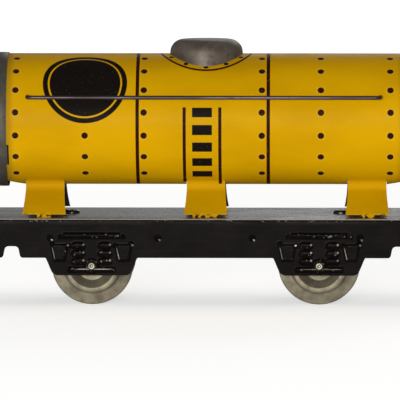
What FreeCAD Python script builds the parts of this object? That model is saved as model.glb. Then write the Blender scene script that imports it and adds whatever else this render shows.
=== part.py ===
"""A four-wheel O gauge tinplate tank wagon, in millimetres.

X runs along the wagon, Y across it and Z up. The origin is on the ground plane under the wagon's
middle, and the wheel flanges touch Z = 0. Every body is drawn about its own natural point (the deck's
top, the tank's axis, an axle's middle, a coupler's pivot) and put in place by its Placement.
"""
import FreeCAD, Part
import math
import os
import re
import Sketcher

SIZES = {
    # frame: one stamped tray, open underneath
    "frame_length": (152.4, "over the end flaps"),
    "frame_width": (44.45, "over the side skirts"),
    "frame_sheet": (0.6, "frame metal"),
    "frame_bend": (1.3, "outside radius of the frame's folded edges"),
    "skirt_depth": (11.1, "deck top to the skirts' lower edge"),
    "truck_depth": (5.0, "truck side below the skirt"),
    "truck_top": (26.2, "truck side's length at the skirt"),
    "truck_bottom": (22.0, "truck side's length at its lower edge"),
    "truck_corner": (2.2, "radius of the truck side's corners"),
    "wheelbase": (65.1, "axle to axle"),
    "axle_drop": (13.4, "deck top to the axles"),
    "notch_place": (55.4, "wagon middle to the notch before a corner step"),
    "notch_width": (3.7, "notch at its straight part"),
    "notch_mouth": (5.0, "notch at the skirt's edge"),
    "notch_height": (3.3, "notch above the skirt's edge"),
    "notch_corner": (1.2, "radius of the notch's top corners"),
    "dimple": (1.8, "diameter of the small dimples in the skirts"),
    "dimple_depth": (0.3, "depth of those dimples"),
    "dimple_inner": (13.5, "wagon middle to the inner dimples"),
    "dimple_outer": (44.3, "wagon middle to the outer dimples"),
    "dimple_drop": (5.6, "deck top to the dimples"),
    # relief stamped on the truck sides
    "relief": (0.4, "how far the relief stands out"),
    "box_size": (4.0, "diameter of the axle box boss"),
    "spring_place": (3.9, "axle to a spring's middle, along the wagon"),
    "spring_width": (3.4, "coil spring"),
    "coil_height": (1.35, "one coil"),
    "coil_pitch": (2.25, "coil to coil"),
    "coil_start": (1.3, "axle to the lowest coil's middle"),
    "bar_height": (1.2, "top bar and spring plank"),
    "top_bar_rise": (8.7, "axle to the top bar's middle"),
    "top_bar": (16.0, "length of the top bar"),
    "plank_drop": (1.0, "axle to the spring plank's middle"),
    "plank": (13.2, "length of the spring plank"),
    "column_place": (9.2, "axle to a bolster column's middle, along the wagon"),
    "column_top": (4.8, "bolster column at its top"),
    "column_foot": (3.2, "bolster column at its foot"),
    "column_high": (5.8, "axle to the column's top"),
    "column_low": (1.8, "axle to the column's foot"),
    # tank
    "tank_radius": (19.05, "outside of the barrel"),
    "tank_sheet": (0.4, "barrel metal"),
    "tank_visible": (114.3, "barrel between the cap rims"),
    "tank_rise": (27.35, "deck top to the tank's axis"),
    "seam_gap": (9.0, "open seam along the barrel's bottom"),
    "seam_flare": (15.5, "the seam's width at the caps"),
    "leg_spread": (31.2, "over the outer faces of the legs, across the wagon"),
    "leg_place": (46.4, "wagon middle to the outer legs"),
    "leg_width": (11.4, "leg at the barrel"),
    "leg_foot": (12.8, "leg at its shoulders"),
    "leg_cut": (0.12, "beyond a leg's full width, either side, in the window it is bent out of"),
    "leg_root": (27.9, "degrees round the barrel, from straight down, to where the legs leave it"),
    "leg_splay": (50.0, "degrees from upright that the legs slope outwards"),
    "leg_run": (0.2, "straight stretch of a leg above its bend"),
    "leg_bend": (2.0, "outer radius of the hollow bend at a leg's root"),
    "leg_knee": (0.4, "inner radius of the bend above a leg's foot"),
    "shoulder_gap": (0.8, "deck to the legs' shoulders"),
    "tab_outer": (4.0, "width of the outer legs' tabs"),
    "tab_middle": (7.4, "width of the middle legs' tabs"),
    "tab_foot": (2.6, "length of a tab's fold under the deck"),
    "tab_play": (0.12, "play round a tab in its slot"),
    # end caps
    "cap_sheet": (0.32, "cap metal"),
    "cap_fit": (0.03, "play between the cap and the barrel"),
    "cap_skirt": (5.2, "rim to where a cap's side would meet its face"),
    "cap_depth": (10.8, "rim to the cap's middle"),
    "cap_corner": (4.0, "radius between a cap's side and its face"),
    "cap_clear": (0.6, "barrel's end to the start of that radius"),
    "lug_high": (6.5, "tank axis to the top of a cap's lug"),
    "lug_low": (12.1, "tank axis to the bottom of a cap's lug"),
    "lug_reach": (1.2, "lug inside the barrel"),
    "lug_slot": (0.7, "width of a lug's slot"),
    # dome
    "dome_diameter": (21.3, "dome"),
    "dome_rise": (4.3, "dome above the barrel's top"),
    "dome_corner": (3.9, "radius of the dome's top edge"),
    "dome_sheet": (0.4, "dome metal"),
    "dome_fit": (0.02, "play under the dome's edge"),
    "dome_skirt": (5.3, "barrel's top to the dome's blank edge, before it is cut to the barrel"),
    # handrails
    "rail_wire": (1.1, "wire diameter"),
    "rail_rise": (7.4, "tank axis to the handrails"),
    "rail_left": (51.0, "wagon middle to a handrail's left end"),
    "rail_right": (50.0, "wagon middle to a handrail's right end"),
    "rail_gap": (1.6, "barrel to the wire"),
    "rail_bend": (1.5, "radius of the wire's bends"),
    "rail_inside": (2.0, "wire inside the barrel"),
    "rail_play": (0.06, "play round the wire in its hole"),
    # wheelsets
    "axle_diameter": (2.35, "axle"),
    "axle_end": (0.8, "axle past the frame's sides"),
    "axle_round": (0.45, "radius of the axle's peened ends"),
    "axle_play": (0.06, "running play round an axle in the frame"),
    "back_to_back": (27.6, "between a pair's wheels"),
    "flange_radius": (11.75, "wheel flange"),
    "tread_radius": (8.3, "wheel tread"),
    "wheel_sheet": (0.45, "wheel metal"),
    "wheel_width": (5.9, "back of a wheel to its face"),
    "dish_radius": (6.6, "dished part of the face"),
    "dish_floor": (4.4, "flat middle of the dish"),
    "dish_depth": (1.5, "dish"),
    "hub_radius": (2.3, "hub collar"),
    "hub_stand": (0.9, "hub collar past the wheel's face"),
    "press_play": (0.01, "between a wheel and its axle"),
    # couplers
    "pivot_place": (39.0, "wagon middle to a coupler's rivet"),
    "coupler_reach": (12.0, "coupler past the frame's end"),
    "coupler_sheet": (0.8, "coupler metal"),
    "shank_width": (8.0, "coupler's shank"),
    "head_width": (11.0, "coupler's head"),
    "swing": (14.0, "coupler's swing each way, in degrees"),
    "coupler_play": (0.2, "above and below the coupler"),
    "link_slot_length": (5.0, "slot for the next wagon's tab, along the coupler"),
    "link_slot_width": (6.4, "the same slot, across the coupler"),
    "link_slot_edge": (2.2, "metal outside the slot"),
    "hook_width": (5.0, "tab that drops into the next wagon's slot"),
    "hook_drop": (4.2, "the tab below its coupler"),
    "hook_inset": (1.8, "coupler's tip to the tab"),
    "hook_corner": (1.2, "radius of the tab's corners"),
    "head_corner": (1.8, "radius of the head's corners"),
    "pivot_corner": (3.6, "radius of the corners behind the pivot"),
    # coupler rivets
    "rivet_head": (4.6, "diameter of a rivet's heads"),
    "rivet_crown": (1.0, "height of the head on the deck"),
    "rivet_round": (0.7, "radius of the crown's edge"),
    "rivet_clench": (0.6, "height of the head below"),
    "rivet_shank": (3.0, "diameter of the rivet's shank"),
    "rivet_bore": (1.7, "diameter of the hole down the rivet"),
    "rivet_play": (0.05, "running play round the rivet"),
}

FORMULAS = {
    "half_length": "frame_length / 2",
    "half_width": "frame_width / 2",
    "deck_top": "flange_radius + axle_drop",
    "tank_axis": "deck_top + tank_rise",
    "rim_place": "tank_visible / 2",
    "leg_face": "leg_spread / 2",
    "leg_turn": "90 - leg_root + leg_splay",
    "leg_reach": "leg_run + leg_bend * tan(leg_turn / 2)",
    "shoulder": "tank_rise - shoulder_gap",
    "under_deck": "tank_rise + frame_sheet + tab_play",
    "cap_radius": "tank_radius + cap_fit + cap_sheet",
    "cap_bulge": "cap_depth - cap_skirt",
    "cap_sphere": "(cap_radius ^ 2 + cap_bulge ^ 2) / (2 * cap_bulge)",
    "cap_overlap": "cap_skirt - cap_clear - cap_corner * tan(acos(cap_radius / cap_sphere) / 2)",
    "rail_tip": "sqrt(tank_radius ^ 2 - rail_rise ^ 2) - rail_inside",
    "pivot_to_end": "half_length - pivot_place",
    "coupler_tip": "pivot_to_end + coupler_reach",
    "swing_half": "pivot_to_end * tan(swing) + shank_width / 2 / cos(swing) + coupler_play",
    "neck_end": "(pivot_to_end + coupler_play + shank_width / 2 * sin(swing)) / cos(swing)",
    "head_start": "neck_end + (head_width - shank_width) / 2",
    "coupler_top": "frame_sheet + coupler_play",
    "coupler_bottom": "coupler_top + coupler_sheet",
}

NEAR, FAR = 1, -1
LEFT, RIGHT = -1, 1
SPRING_COILS = 3
PAST = "1"  # how far a cutting outline runs past the metal that it cuts
LEGS = [("0 - leg_place", "tab_outer"), ("0", "tab_middle"), ("leg_place", "tab_outer")]  # place, tab's width

doc = FreeCAD.newDocument("tank_wagon")
sheet = doc.addObject("Spreadsheet::Sheet", "Sizes")
for row, (size_name, (size, meaning)) in enumerate(SIZES.items(), 1):
    sheet.set(f"A{row}", meaning)
    sheet.set(f"B{row}", str(size))
    sheet.setAlias(f"B{row}", size_name)
doc.recompute()

bodies = []


def bound(formula):
    """A formula of sizes, written with the sheet's cells."""

    def cell(word):
        if word[0] in FORMULAS:
            return f"({bound(FORMULAS[word[0]])})"
        return f"Sizes.{word[0]}" if word[0] in SIZES else word[0]

    return re.sub(r"[a-z][a-z_]*", cell, formula)


def amount(formula):
    """What a formula of sizes comes to."""
    return float(bodies[-1].evalExpression(bound(formula)))


def new_body(name, x="0", y="0", z="0", turned=False):
    """A body at a place given by three formulas, turned half round about Z where asked."""
    body = doc.addObject("PartDesign::Body", name)
    body.Label = name
    if turned:
        body.Placement = FreeCAD.Placement(FreeCAD.Vector(), FreeCAD.Rotation(FreeCAD.Vector(0, 0, 1), 180))
    for axis, formula in zip("xyz", (x, y, z)):
        body.setExpression(f"Placement.Base.{axis}", bound(formula))
    bodies.append(body)
    return body


def new_sketch(body, name, plane, offset="0"):
    """A sketch on a body's own origin plane, moved along that plane's normal.

    On XY the sketch reads X, Y and faces up; on XZ it reads X, Z and faces -Y; on YZ it reads Y, Z
    and faces +X.
    """
    sketch = body.newObject("Sketcher::SketchObject", name)
    support = next(item for item in body.Origin.OriginFeatures if item.Role == f"{plane}_Plane")
    sketch.AttachmentSupport = [(support, "")]
    sketch.MapMode = "FlatFace"
    sketch.setExpression("AttachmentOffset.Base.z", bound(offset))
    return sketch


def pin(sketch, geometry, point, x, y):
    """Hold one point of a sketch at formulas of its two coordinates."""
    for kind, formula in (("DistanceX", x), ("DistanceY", y)):
        index = sketch.addConstraint(Sketcher.Constraint(kind, -1, 1, geometry, point, amount(formula)))
        sketch.setExpression(f"Constraints[{index}]", bound(formula))


def outline(sketch, corners):
    """A closed outline of straight lines through corners given as pairs of formulas."""
    points = [FreeCAD.Vector(amount(x), amount(y), 0) for x, y in corners]
    first = sketch.GeometryCount
    for start, end in zip(points, points[1:] + points[:1]):
        sketch.addGeometry(Part.LineSegment(start, end), False)
    count = len(points)
    for index, (x, y) in enumerate(corners):
        before = first + (index - 1) % count
        sketch.addConstraint(Sketcher.Constraint("Coincident", before, 2, first + index, 1))
        pin(sketch, first + index, 1, x, y)


def rectangle(sketch, x_low, x_high, y_low, y_high):
    """A rectangle between formulas of its sides."""
    outline(sketch, [(x_low, y_low), (x_high, y_low), (x_high, y_high), (x_low, y_high)])


def circle(sketch, x, y, radius):
    """A circle at formulas of its centre and radius."""
    centre = FreeCAD.Vector(amount(x), amount(y), 0)
    index = sketch.addGeometry(Part.Circle(centre, FreeCAD.Vector(0, 0, 1), amount(radius)), False)
    pin(sketch, index, 3, x, y)
    constraint = sketch.addConstraint(Sketcher.Constraint("Radius", index, amount(radius)))
    sketch.setExpression(f"Constraints[{constraint}]", bound(radius))


def pad(body, sketch, length, symmetric=False, backwards=False):
    """Metal added along a sketch's normal."""
    return extrusion(body, "PartDesign::Pad", sketch, length, symmetric, backwards)


def pocket(body, sketch, length, symmetric=False, backwards=False):
    """Metal cut away against a sketch's normal; the cut must take something."""
    doc.recompute()
    before = body.Shape.Volume
    feature = extrusion(body, "PartDesign::Pocket", sketch, length, symmetric, backwards)
    if body.Shape.Volume >= before:
        raise RuntimeError(f"{feature.Label} in {body.Label} cuts nothing")
    return feature


def extrusion(body, kind, sketch, length, symmetric, backwards):
    feature = body.newObject(kind, f"{sketch.Name}_{kind.split('::')[1].lower()}")
    feature.Profile = sketch
    feature.setExpression("Length", bound(length))
    feature.SideType = "Symmetric" if symmetric else "One side"
    feature.Reversed = backwards
    sketch.Visibility = False
    doc.recompute()
    return feature


def revolution(body, sketch, axis):
    """A full turn of a sketch about its own H_Axis or V_Axis."""
    feature = body.newObject("PartDesign::Revolution", f"{sketch.Name}_turn")
    feature.Profile = sketch
    feature.ReferenceAxis = (sketch, [axis])
    feature.Angle = 360
    doc.recompute()
    return feature


def fillet(body, name, radius, chosen):
    """A fillet on the edges of the body's tip that a test picks."""
    tip = body.Tip
    edges = [f"Edge{number}" for number, edge in enumerate(tip.Shape.Edges, 1) if chosen(edge)]
    if not edges:
        raise RuntimeError(f"{name} in {body.Label} finds no edge")
    feature = body.newObject("PartDesign::Fillet", name)
    feature.Base = (tip, edges)
    feature.setExpression("Radius", bound(radius))
    doc.recompute()
    return feature


def hollow(body, name, thickness, chosen):
    """A sheet-metal shell: the body keeps its outside and opens at the faces that a test picks."""
    tip = body.Tip
    faces = [f"Face{number}" for number, face in enumerate(tip.Shape.Faces, 1) if chosen(face)]
    feature = body.newObject("PartDesign::Thickness", name)
    feature.Base = (tip, faces)
    feature.setExpression("Value", bound(thickness))
    feature.Reversed = True
    feature.Join = "Intersection"
    doc.recompute()
    return feature


def at(x, y, z=0):
    return FreeCAD.Vector(x, y, z)


def near(value, target, within=1e-3):
    return abs(value - target) < within


def flat_at(shape, axis, place):
    """Whether a face or an edge lies flat across an axis at a place."""
    box = shape.BoundBox
    return near(getattr(box, f"{axis}Min"), place) and near(getattr(box, f"{axis}Max"), place)


def upright_edge_at(edge, axis, heights):
    """Whether an edge is a point's width in X and Z at one of some heights, and so runs along Y."""
    box = edge.BoundBox
    return box.XLength < 1e-3 and box.ZLength < 1e-3 and any(near(getattr(box, axis), h) for h in heights)


# ---------------------------------------------------------------- frame


def truck_sides(body, side):
    """The trapezoid truck sides that hang below a skirt, flush with its outside."""
    sketch = new_sketch(body, f"truck_sides_{side_name(side)}", "XZ", f"{side} * half_width")
    for end in (LEFT, RIGHT):
        middle = f"{end} * wheelbase / 2"
        outline(
            sketch,
            [
                (f"{middle} - truck_top / 2", "0 - skirt_depth + frame_sheet"),
                (f"{middle} - truck_top / 2", "0 - skirt_depth"),
                (f"{middle} - truck_bottom / 2", "0 - skirt_depth - truck_depth"),
                (f"{middle} + truck_bottom / 2", "0 - skirt_depth - truck_depth"),
                (f"{middle} + truck_top / 2", "0 - skirt_depth"),
                (f"{middle} + truck_top / 2", "0 - skirt_depth + frame_sheet"),
            ],
        )
    pad(body, sketch, "frame_sheet", backwards=side == NEAR)


def truck_relief(body, side):
    """Springs, bars, bolster columns and axle boxes, stamped outwards on one side's trucks."""
    sketch = new_sketch(body, f"truck_relief_{side_name(side)}", "XZ", f"{side} * half_width")
    boxes = new_sketch(body, f"axle_boxes_{side_name(side)}", "XZ", f"{side} * half_width")
    for end in (LEFT, RIGHT):
        middle = f"{end} * wheelbase / 2"
        circle(boxes, middle, "0 - axle_drop", "box_size / 2")
        upright_bar(sketch, middle, "top_bar", "top_bar_rise - axle_drop", "bar_height")
        upright_bar(sketch, middle, "plank", "0 - plank_drop - axle_drop", "bar_height")
        for hand in (LEFT, RIGHT):
            for coil in range(SPRING_COILS):
                height = f"coil_start + {coil} * coil_pitch - axle_drop"
                spring = f"{middle} + {hand} * spring_place"
                upright_bar(sketch, spring, "spring_width", height, "coil_height")
            column = f"{middle} + {hand} * column_place"
            outline(
                sketch,
                [
                    (f"{column} - column_foot / 2", "column_low - axle_drop"),
                    (f"{column} + column_foot / 2", "column_low - axle_drop"),
                    (f"{column} + column_top / 2", "column_high - axle_drop"),
                    (f"{column} - column_top / 2", "column_high - axle_drop"),
                ],
            )
    for stamped in (sketch, boxes):
        pad(body, stamped, "relief", backwards=side == FAR)


def upright_bar(sketch, x, length, z, height):
    """A rectangle about its middle, given by formulas."""
    rectangle(
        sketch,
        f"{x} - {length} / 2",
        f"{x} + {length} / 2",
        f"{z} - {height} / 2",
        f"{z} + {height} / 2",
    )


def side_name(side):
    return "near" if side == NEAR else "far"


def dimples(body, side):
    """Four small round dimples in the outside of one skirt."""
    sketch = new_sketch(body, f"dimples_{side_name(side)}", "XZ", f"{side} * half_width")
    for end in (LEFT, RIGHT):
        for place in ("dimple_inner", "dimple_outer"):
            circle(sketch, f"{end} * {place}", "0 - dimple_drop", "dimple / 2")
    pocket(body, sketch, "dimple_depth", backwards=side == FAR)


def side_cuts(body):
    """Axle bearings and notches, cut through both skirts."""
    sketch = new_sketch(body, "side_cuts", "XZ")
    for end in (LEFT, RIGHT):
        circle(sketch, f"{end} * wheelbase / 2", "0 - axle_drop", "axle_diameter / 2 + axle_play")
        middle = f"{end} * notch_place"
        outline(
            sketch,
            [
                (f"{middle} - notch_mouth / 2", f"0 - skirt_depth - {PAST}"),
                (f"{middle} + notch_mouth / 2", f"0 - skirt_depth - {PAST}"),
                (f"{middle} + notch_width / 2", "0 - skirt_depth + frame_sheet"),
                (f"{middle} + notch_width / 2", "0 - skirt_depth + notch_height"),
                (f"{middle} - notch_width / 2", "0 - skirt_depth + notch_height"),
                (f"{middle} - notch_width / 2", "0 - skirt_depth + frame_sheet"),
            ],
        )
    pocket(body, sketch, f"frame_width + 2 * {PAST}", symmetric=True)


def deck_cuts(body):
    """Slots for the tank's tabs and holes for the coupler rivets, cut through the deck."""
    sketch = new_sketch(body, "deck_cuts", "XY", PAST)
    for side in (NEAR, FAR):
        for place, width in LEGS:
            rectangle(
                sketch,
                f"{place} - {width} / 2 - tab_play",
                f"{place} + {width} / 2 + tab_play",
                f"{side} * (leg_face - tank_sheet / 2) - tank_sheet / 2 - tab_play",
                f"{side} * (leg_face - tank_sheet / 2) + tank_sheet / 2 + tab_play",
            )
    for end in (LEFT, RIGHT):
        circle(sketch, f"{end} * pivot_place", "0", "rivet_shank / 2 + press_play")
    pocket(body, sketch, f"2 * {PAST} + frame_sheet")


def end_cuts(body):
    """The windows in the end flaps that the couplers swing in."""
    sketch = new_sketch(body, "end_cuts", "YZ")
    rectangle(
        sketch, "0 - swing_half", "swing_half", "0 - coupler_bottom - coupler_play", "0 - frame_sheet"
    )
    pocket(body, sketch, f"frame_length + 2 * {PAST}", symmetric=True)


def make_frame():
    body = new_body("frame", z="deck_top")
    plan = new_sketch(body, "plan", "XY")
    rectangle(plan, "0 - half_length", "half_length", "0 - half_width", "half_width")
    pad(body, plan, "skirt_depth", backwards=True)
    depth = amount("skirt_depth")
    fillet(body, "folded_edges", "frame_bend", lambda edge: not near(edge.BoundBox.ZMax, -depth))
    hollow(body, "sheet_metal", "frame_sheet", lambda face: flat_at(face, "Z", -depth))
    lowest = -amount("skirt_depth + truck_depth")
    for side in (NEAR, FAR):
        truck_sides(body, side)
    fillet(body, "truck_corners", "truck_corner", lambda edge: upright_edge_at(edge, "ZMin", [lowest]))
    for side in (NEAR, FAR):
        truck_relief(body, side)
        dimples(body, side)
    side_cuts(body)
    roof = amount("notch_height - skirt_depth")
    fillet(body, "notch_corners", "notch_corner", lambda edge: upright_edge_at(edge, "ZMin", [roof]))
    deck_cuts(body)
    end_cuts(body)


# ---------------------------------------------------------------- tank


def make_barrel():
    body = new_body("tank_barrel", z="tank_axis")
    ring = new_sketch(body, "ring", "YZ")
    circle(ring, "0", "0", "tank_radius")
    circle(ring, "0", "0", "tank_radius - tank_sheet")
    pad(body, ring, "tank_visible + 2 * cap_overlap", symmetric=True)

    seam = new_sketch(body, "seam", "XY")
    flare_start = "leg_place + leg_width / 2"
    corners = [(f"rim_place + cap_overlap + {PAST}", "seam_flare / 2"), ("rim_place", "seam_flare / 2")]
    corners += [(flare_start, "seam_gap / 2")]
    far_edge = corners + [(f"0 - ({x})", y) for x, y in reversed(corners)]
    outline(seam, far_edge + [(x, f"0 - {y}") for x, y in reversed(far_edge)])
    pocket(body, seam, f"tank_radius + {PAST}")

    past = f"(tank_radius + {PAST})"
    for place, _ in LEGS:
        window = new_sketch(body, "leg_window", "YZ", place)
        corners = [(f"{past} * sin(leg_root)", f"0 - {past} * cos(leg_root)")]
        corners += [(f"{past} * sin(leg_root)", f"0 - {past}")]
        outline(window, [("0", "0")] + corners + [(f"0 - {y}", z) for y, z in reversed(corners)])
        pocket(body, window, "leg_foot + 2 * leg_cut", symmetric=True)
    add_legs(body)
    feet = new_sketch(body, "feet", "XY", "0 - under_deck")
    for side in (NEAR, FAR):
        for place, width in LEGS:
            rectangle(
                feet,
                f"{place} - {width} / 2",
                f"{place} + {width} / 2",
                f"{side} * (leg_face - tab_foot / 2) - tab_foot / 2",
                f"{side} * (leg_face - tab_foot / 2) + tab_foot / 2",
            )
    pad(body, feet, "tank_sheet", backwards=True)

    holes = new_sketch(body, "wall_holes", "XZ")
    for place in ("0 - rail_left", "rail_right"):
        circle(holes, place, "rail_rise", "rail_wire / 2 + rail_play")
    for end in (LEFT, RIGHT):
        rim = f"{end} * (rim_place - lug_slot / 2)"
        rectangle(
            holes,
            f"{rim} - lug_slot / 2",
            f"{rim} + lug_slot / 2",
            "0 - lug_low - tab_play",
            "0 - lug_high + tab_play",
        )
    pocket(body, holes, f"2 * tank_radius + 2 * {PAST}", symmetric=True)


def leg_line(depth):
    """Corners of a leg seen along the wagon, at a depth inside the sheet: root, bend, knee and foot."""
    radius = f"(tank_radius - {depth})"
    reach = f"(leg_reach + {depth} * tan(leg_turn / 2))"
    out = f"({radius} * sin(leg_root) - {reach} * cos(leg_root))"
    down = f"({radius} * cos(leg_root) + {reach} * sin(leg_root))"
    face = f"(leg_face - {depth})"
    return [
        (f"{radius} * sin(leg_root)", f"0 - {radius} * cos(leg_root)"),
        (out, f"0 - {down}"),
        (face, f"0 - {down} - ({face} - {out}) / tan(leg_splay)"),
        (face, "0 - under_deck - tank_sheet"),
    ]


def add_legs(body):
    """Three pairs of legs, strips of the barrel's sheet bent outwards, with a tab at each foot."""
    outer, inner = leg_line("0"), leg_line("tank_sheet")
    for place, _ in LEGS:
        pair = new_sketch(body, "leg_pair", "YZ", place)
        for side in (NEAR, FAR):
            outline(pair, [(f"{side} * {y}", z) for y, z in outer + inner[::-1]])
        pad(body, pair, "leg_foot", symmetric=True)
    for name, corner, radius in (
        ("outer_bend", outer[1], "leg_bend"),
        ("inner_bend", inner[1], "leg_bend + tank_sheet"),
        ("outer_knee", outer[2], "leg_knee + tank_sheet"),
        ("inner_knee", inner[2], "leg_knee"),
    ):
        out, height = map(amount, corner)
        fillet(body, name, radius, lambda edge: is_crease(edge, out, height))

    trims = new_sketch(body, "leg_sides", "XZ")
    top, low = "0 - (tank_radius - tank_sheet) * cos(leg_root)", f"0 - under_deck - tank_sheet - {PAST}"
    for place, width in LEGS:
        taper = [
            ("leg_width / 2", top),
            ("leg_width / 2", outer[1][1]),
            ("leg_foot / 2", "0 - shoulder"),
            (f"{width} / 2", "0 - shoulder"),
            (f"{width} / 2", low),
            ("leg_foot / 2 + leg_cut", low),
            ("leg_foot / 2 + leg_cut", top),
        ]
        for hand in (LEFT, RIGHT):
            outline(trims, [(f"{place} + {hand} * ({x})", z) for x, z in taper])
    pocket(body, trims, f"2 * tank_radius + 2 * {PAST}", symmetric=True)


def is_crease(edge, out, height):
    """Whether an edge runs along the wagon, at a distance either side of its middle and a height."""
    box = edge.BoundBox
    return near(abs(box.YMin), out) and near(abs(box.YMax), out) and flat_at(edge, "Z", height)


def make_cap(name, end):
    """A cup over the barrel's end, with a lug each side bent in through the barrel."""
    body = new_body(name, x=f"{end} * rim_place", z="tank_axis", turned=end == LEFT)
    cup = new_sketch(body, "cup", "XZ")
    radius, skirt, bulge = amount("cap_radius"), amount("cap_skirt"), amount("cap_depth")
    sphere = amount("cap_sphere")
    side = cup.addGeometry(Part.LineSegment(at(0, radius), at(skirt, radius)), False)
    centre = at(bulge - sphere, 0)
    slope = FreeCAD.Vector(sphere, 0, 0).getAngle(at(skirt, radius) - centre)
    face = cup.addGeometry(Part.ArcOfCircle(Part.Circle(centre, at(0, 0, 1), sphere), 0, slope), False)
    axis = cup.addGeometry(Part.LineSegment(at(bulge, 0), at(0, 0)), False)
    rim = cup.addGeometry(Part.LineSegment(at(0, 0), at(0, radius)), False)
    for one, one_end, other, other_end in (
        (side, 2, face, 2),
        (face, 1, axis, 1),
        (axis, 2, rim, 1),
        (rim, 2, side, 1),
    ):
        cup.addConstraint(Sketcher.Constraint("Coincident", one, one_end, other, other_end))
    pin(cup, rim, 1, "0", "0")
    pin(cup, side, 1, "0", "cap_radius")
    pin(cup, side, 2, "cap_skirt", "cap_radius")
    pin(cup, axis, 1, "cap_depth", "0")
    cup.addConstraint(Sketcher.Constraint("PointOnObject", face, 3, -1))
    revolution(body, cup, "H_Axis")
    fillet(body, "shoulder", "cap_corner", lambda edge: flat_at(edge, "X", skirt))
    hollow(body, "sheet_metal", "cap_sheet", lambda face: flat_at(face, "X", 0))

    lugs = new_sketch(body, "lugs", "YZ")
    inside = "(tank_radius - tank_sheet - lug_reach)"
    corners = [
        ("cap_radius", "lug_high"),
        ("cap_radius", "lug_low"),
        (inside, "lug_low"),
        (inside, "lug_high"),
    ]
    for hand in (NEAR, FAR):
        lug = [(f"{hand} * sqrt({reach} ^ 2 - {drop} ^ 2)", f"0 - {drop}") for reach, drop in corners]
        outline(lugs, lug)
    pad(body, lugs, "cap_sheet", backwards=True)


def make_dome():
    """A flat-topped cup that sits astride the barrel."""
    body = new_body("dome", z="tank_axis")
    base = "tank_radius - dome_skirt"
    plan = new_sketch(body, "plan", "XY", base)
    circle(plan, "0", "0", "dome_diameter / 2")
    pad(body, plan, f"tank_radius + dome_rise - ({base})")
    top, bottom = amount("tank_radius + dome_rise"), amount(base)
    fillet(body, "top_edge", "dome_corner", lambda edge: near(edge.BoundBox.ZMin, top))
    hollow(body, "sheet_metal", "dome_sheet", lambda face: flat_at(face, "Z", bottom))
    saddle = new_sketch(body, "saddle", "YZ")
    circle(saddle, "0", "0", "tank_radius + dome_fit")
    pocket(body, saddle, f"dome_diameter + 2 * {PAST}", symmetric=True)


def make_handrail(name, side):
    """One wire along the barrel, with both ends bent in through the wall."""
    body = new_body(name, y=f"{0 - side} * tank_radius", z="tank_axis + rail_rise", turned=side == FAR)
    ends = ("rail_left", "rail_right") if side == NEAR else ("rail_right", "rail_left")
    start, finish = f"0 - {ends[0]}", ends[1]
    inner, outer = "tank_radius - rail_tip", "0 - rail_gap - rail_wire / 2"
    first, second = f"({start}) + rail_bend", f"{finish} - rail_bend"
    bend = f"{outer} + rail_bend"
    path = new_sketch(body, "path", "XY")
    runs = [
        ((start, inner), (start, bend)),
        ((first, outer), (second, outer)),
        ((finish, bend), (finish, inner)),
    ]
    for run in runs:
        line = path.addGeometry(Part.LineSegment(*(at(amount(x), amount(y)) for x, y in run)), False)
        for point, (x, y) in enumerate(run, 1):
            pin(path, line, point, x, y)
    for index, (centre, begin) in enumerate(((first, math.pi), (second, 1.5 * math.pi))):
        ring = Part.Circle(at(amount(centre), amount(bend)), at(0, 0, 1), amount("rail_bend"))
        arc = path.addGeometry(Part.ArcOfCircle(ring, begin, begin + math.pi / 2), False)
        path.addConstraint(Sketcher.Constraint("Coincident", index, 2, arc, 1))
        path.addConstraint(Sketcher.Constraint("Coincident", arc, 2, index + 1, 1))
        radius = path.addConstraint(Sketcher.Constraint("Radius", arc, amount("rail_bend")))
        path.setExpression(f"Constraints[{radius}]", bound("rail_bend"))
    section = new_sketch(body, "section", "XZ", f"0 - ({inner})")
    circle(section, start, "0", "rail_wire / 2")
    wire = body.newObject("PartDesign::AdditivePipe", "wire")
    wire.Profile = section
    wire.Spine = path
    doc.recompute()


# ---------------------------------------------------------------- wheelsets


def make_axle(name, end):
    body = new_body(name, x=f"{end} * wheelbase / 2", z="flange_radius")
    section = new_sketch(body, "section", "XZ")
    circle(section, "0", "0", "axle_diameter / 2")
    pad(body, section, "frame_width + 2 * axle_end", symmetric=True)
    fillet(body, "peened_ends", "axle_round", lambda edge: edge.BoundBox.YLength < 1e-3)


def make_wheel(name, end, side):
    """The outer stamping of a wheel: flange, tread, dished face and hub collar."""
    body = new_body(
        name,
        x=f"{end} * wheelbase / 2",
        y=f"{0 - side} * back_to_back / 2",
        z="flange_radius",
        turned=side == NEAR,
    )
    profile = new_sketch(body, "profile", "YZ")
    bore = "axle_diameter / 2 + press_play"
    floor = "wheel_width - dish_depth"
    outline(
        profile,
        [
            ("0", "flange_radius - wheel_sheet"),
            ("0", "flange_radius"),
            ("2 * wheel_sheet", "flange_radius"),
            ("2 * wheel_sheet", "tread_radius"),
            ("wheel_width", "tread_radius"),
            ("wheel_width", "dish_radius"),
            (floor, "dish_floor"),
            (floor, "hub_radius"),
            ("wheel_width + hub_stand", "hub_radius"),
            ("wheel_width + hub_stand", bore),
            (f"{floor} - wheel_sheet", bore),
            (f"{floor} - wheel_sheet", "dish_floor"),
            ("wheel_width - wheel_sheet", "dish_radius"),
            ("wheel_width - wheel_sheet", "tread_radius - wheel_sheet"),
            ("wheel_sheet + press_play", "tread_radius - wheel_sheet"),
            ("wheel_sheet + press_play", "flange_radius - wheel_sheet"),
        ],
    )
    revolution(body, profile, "H_Axis")


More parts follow.
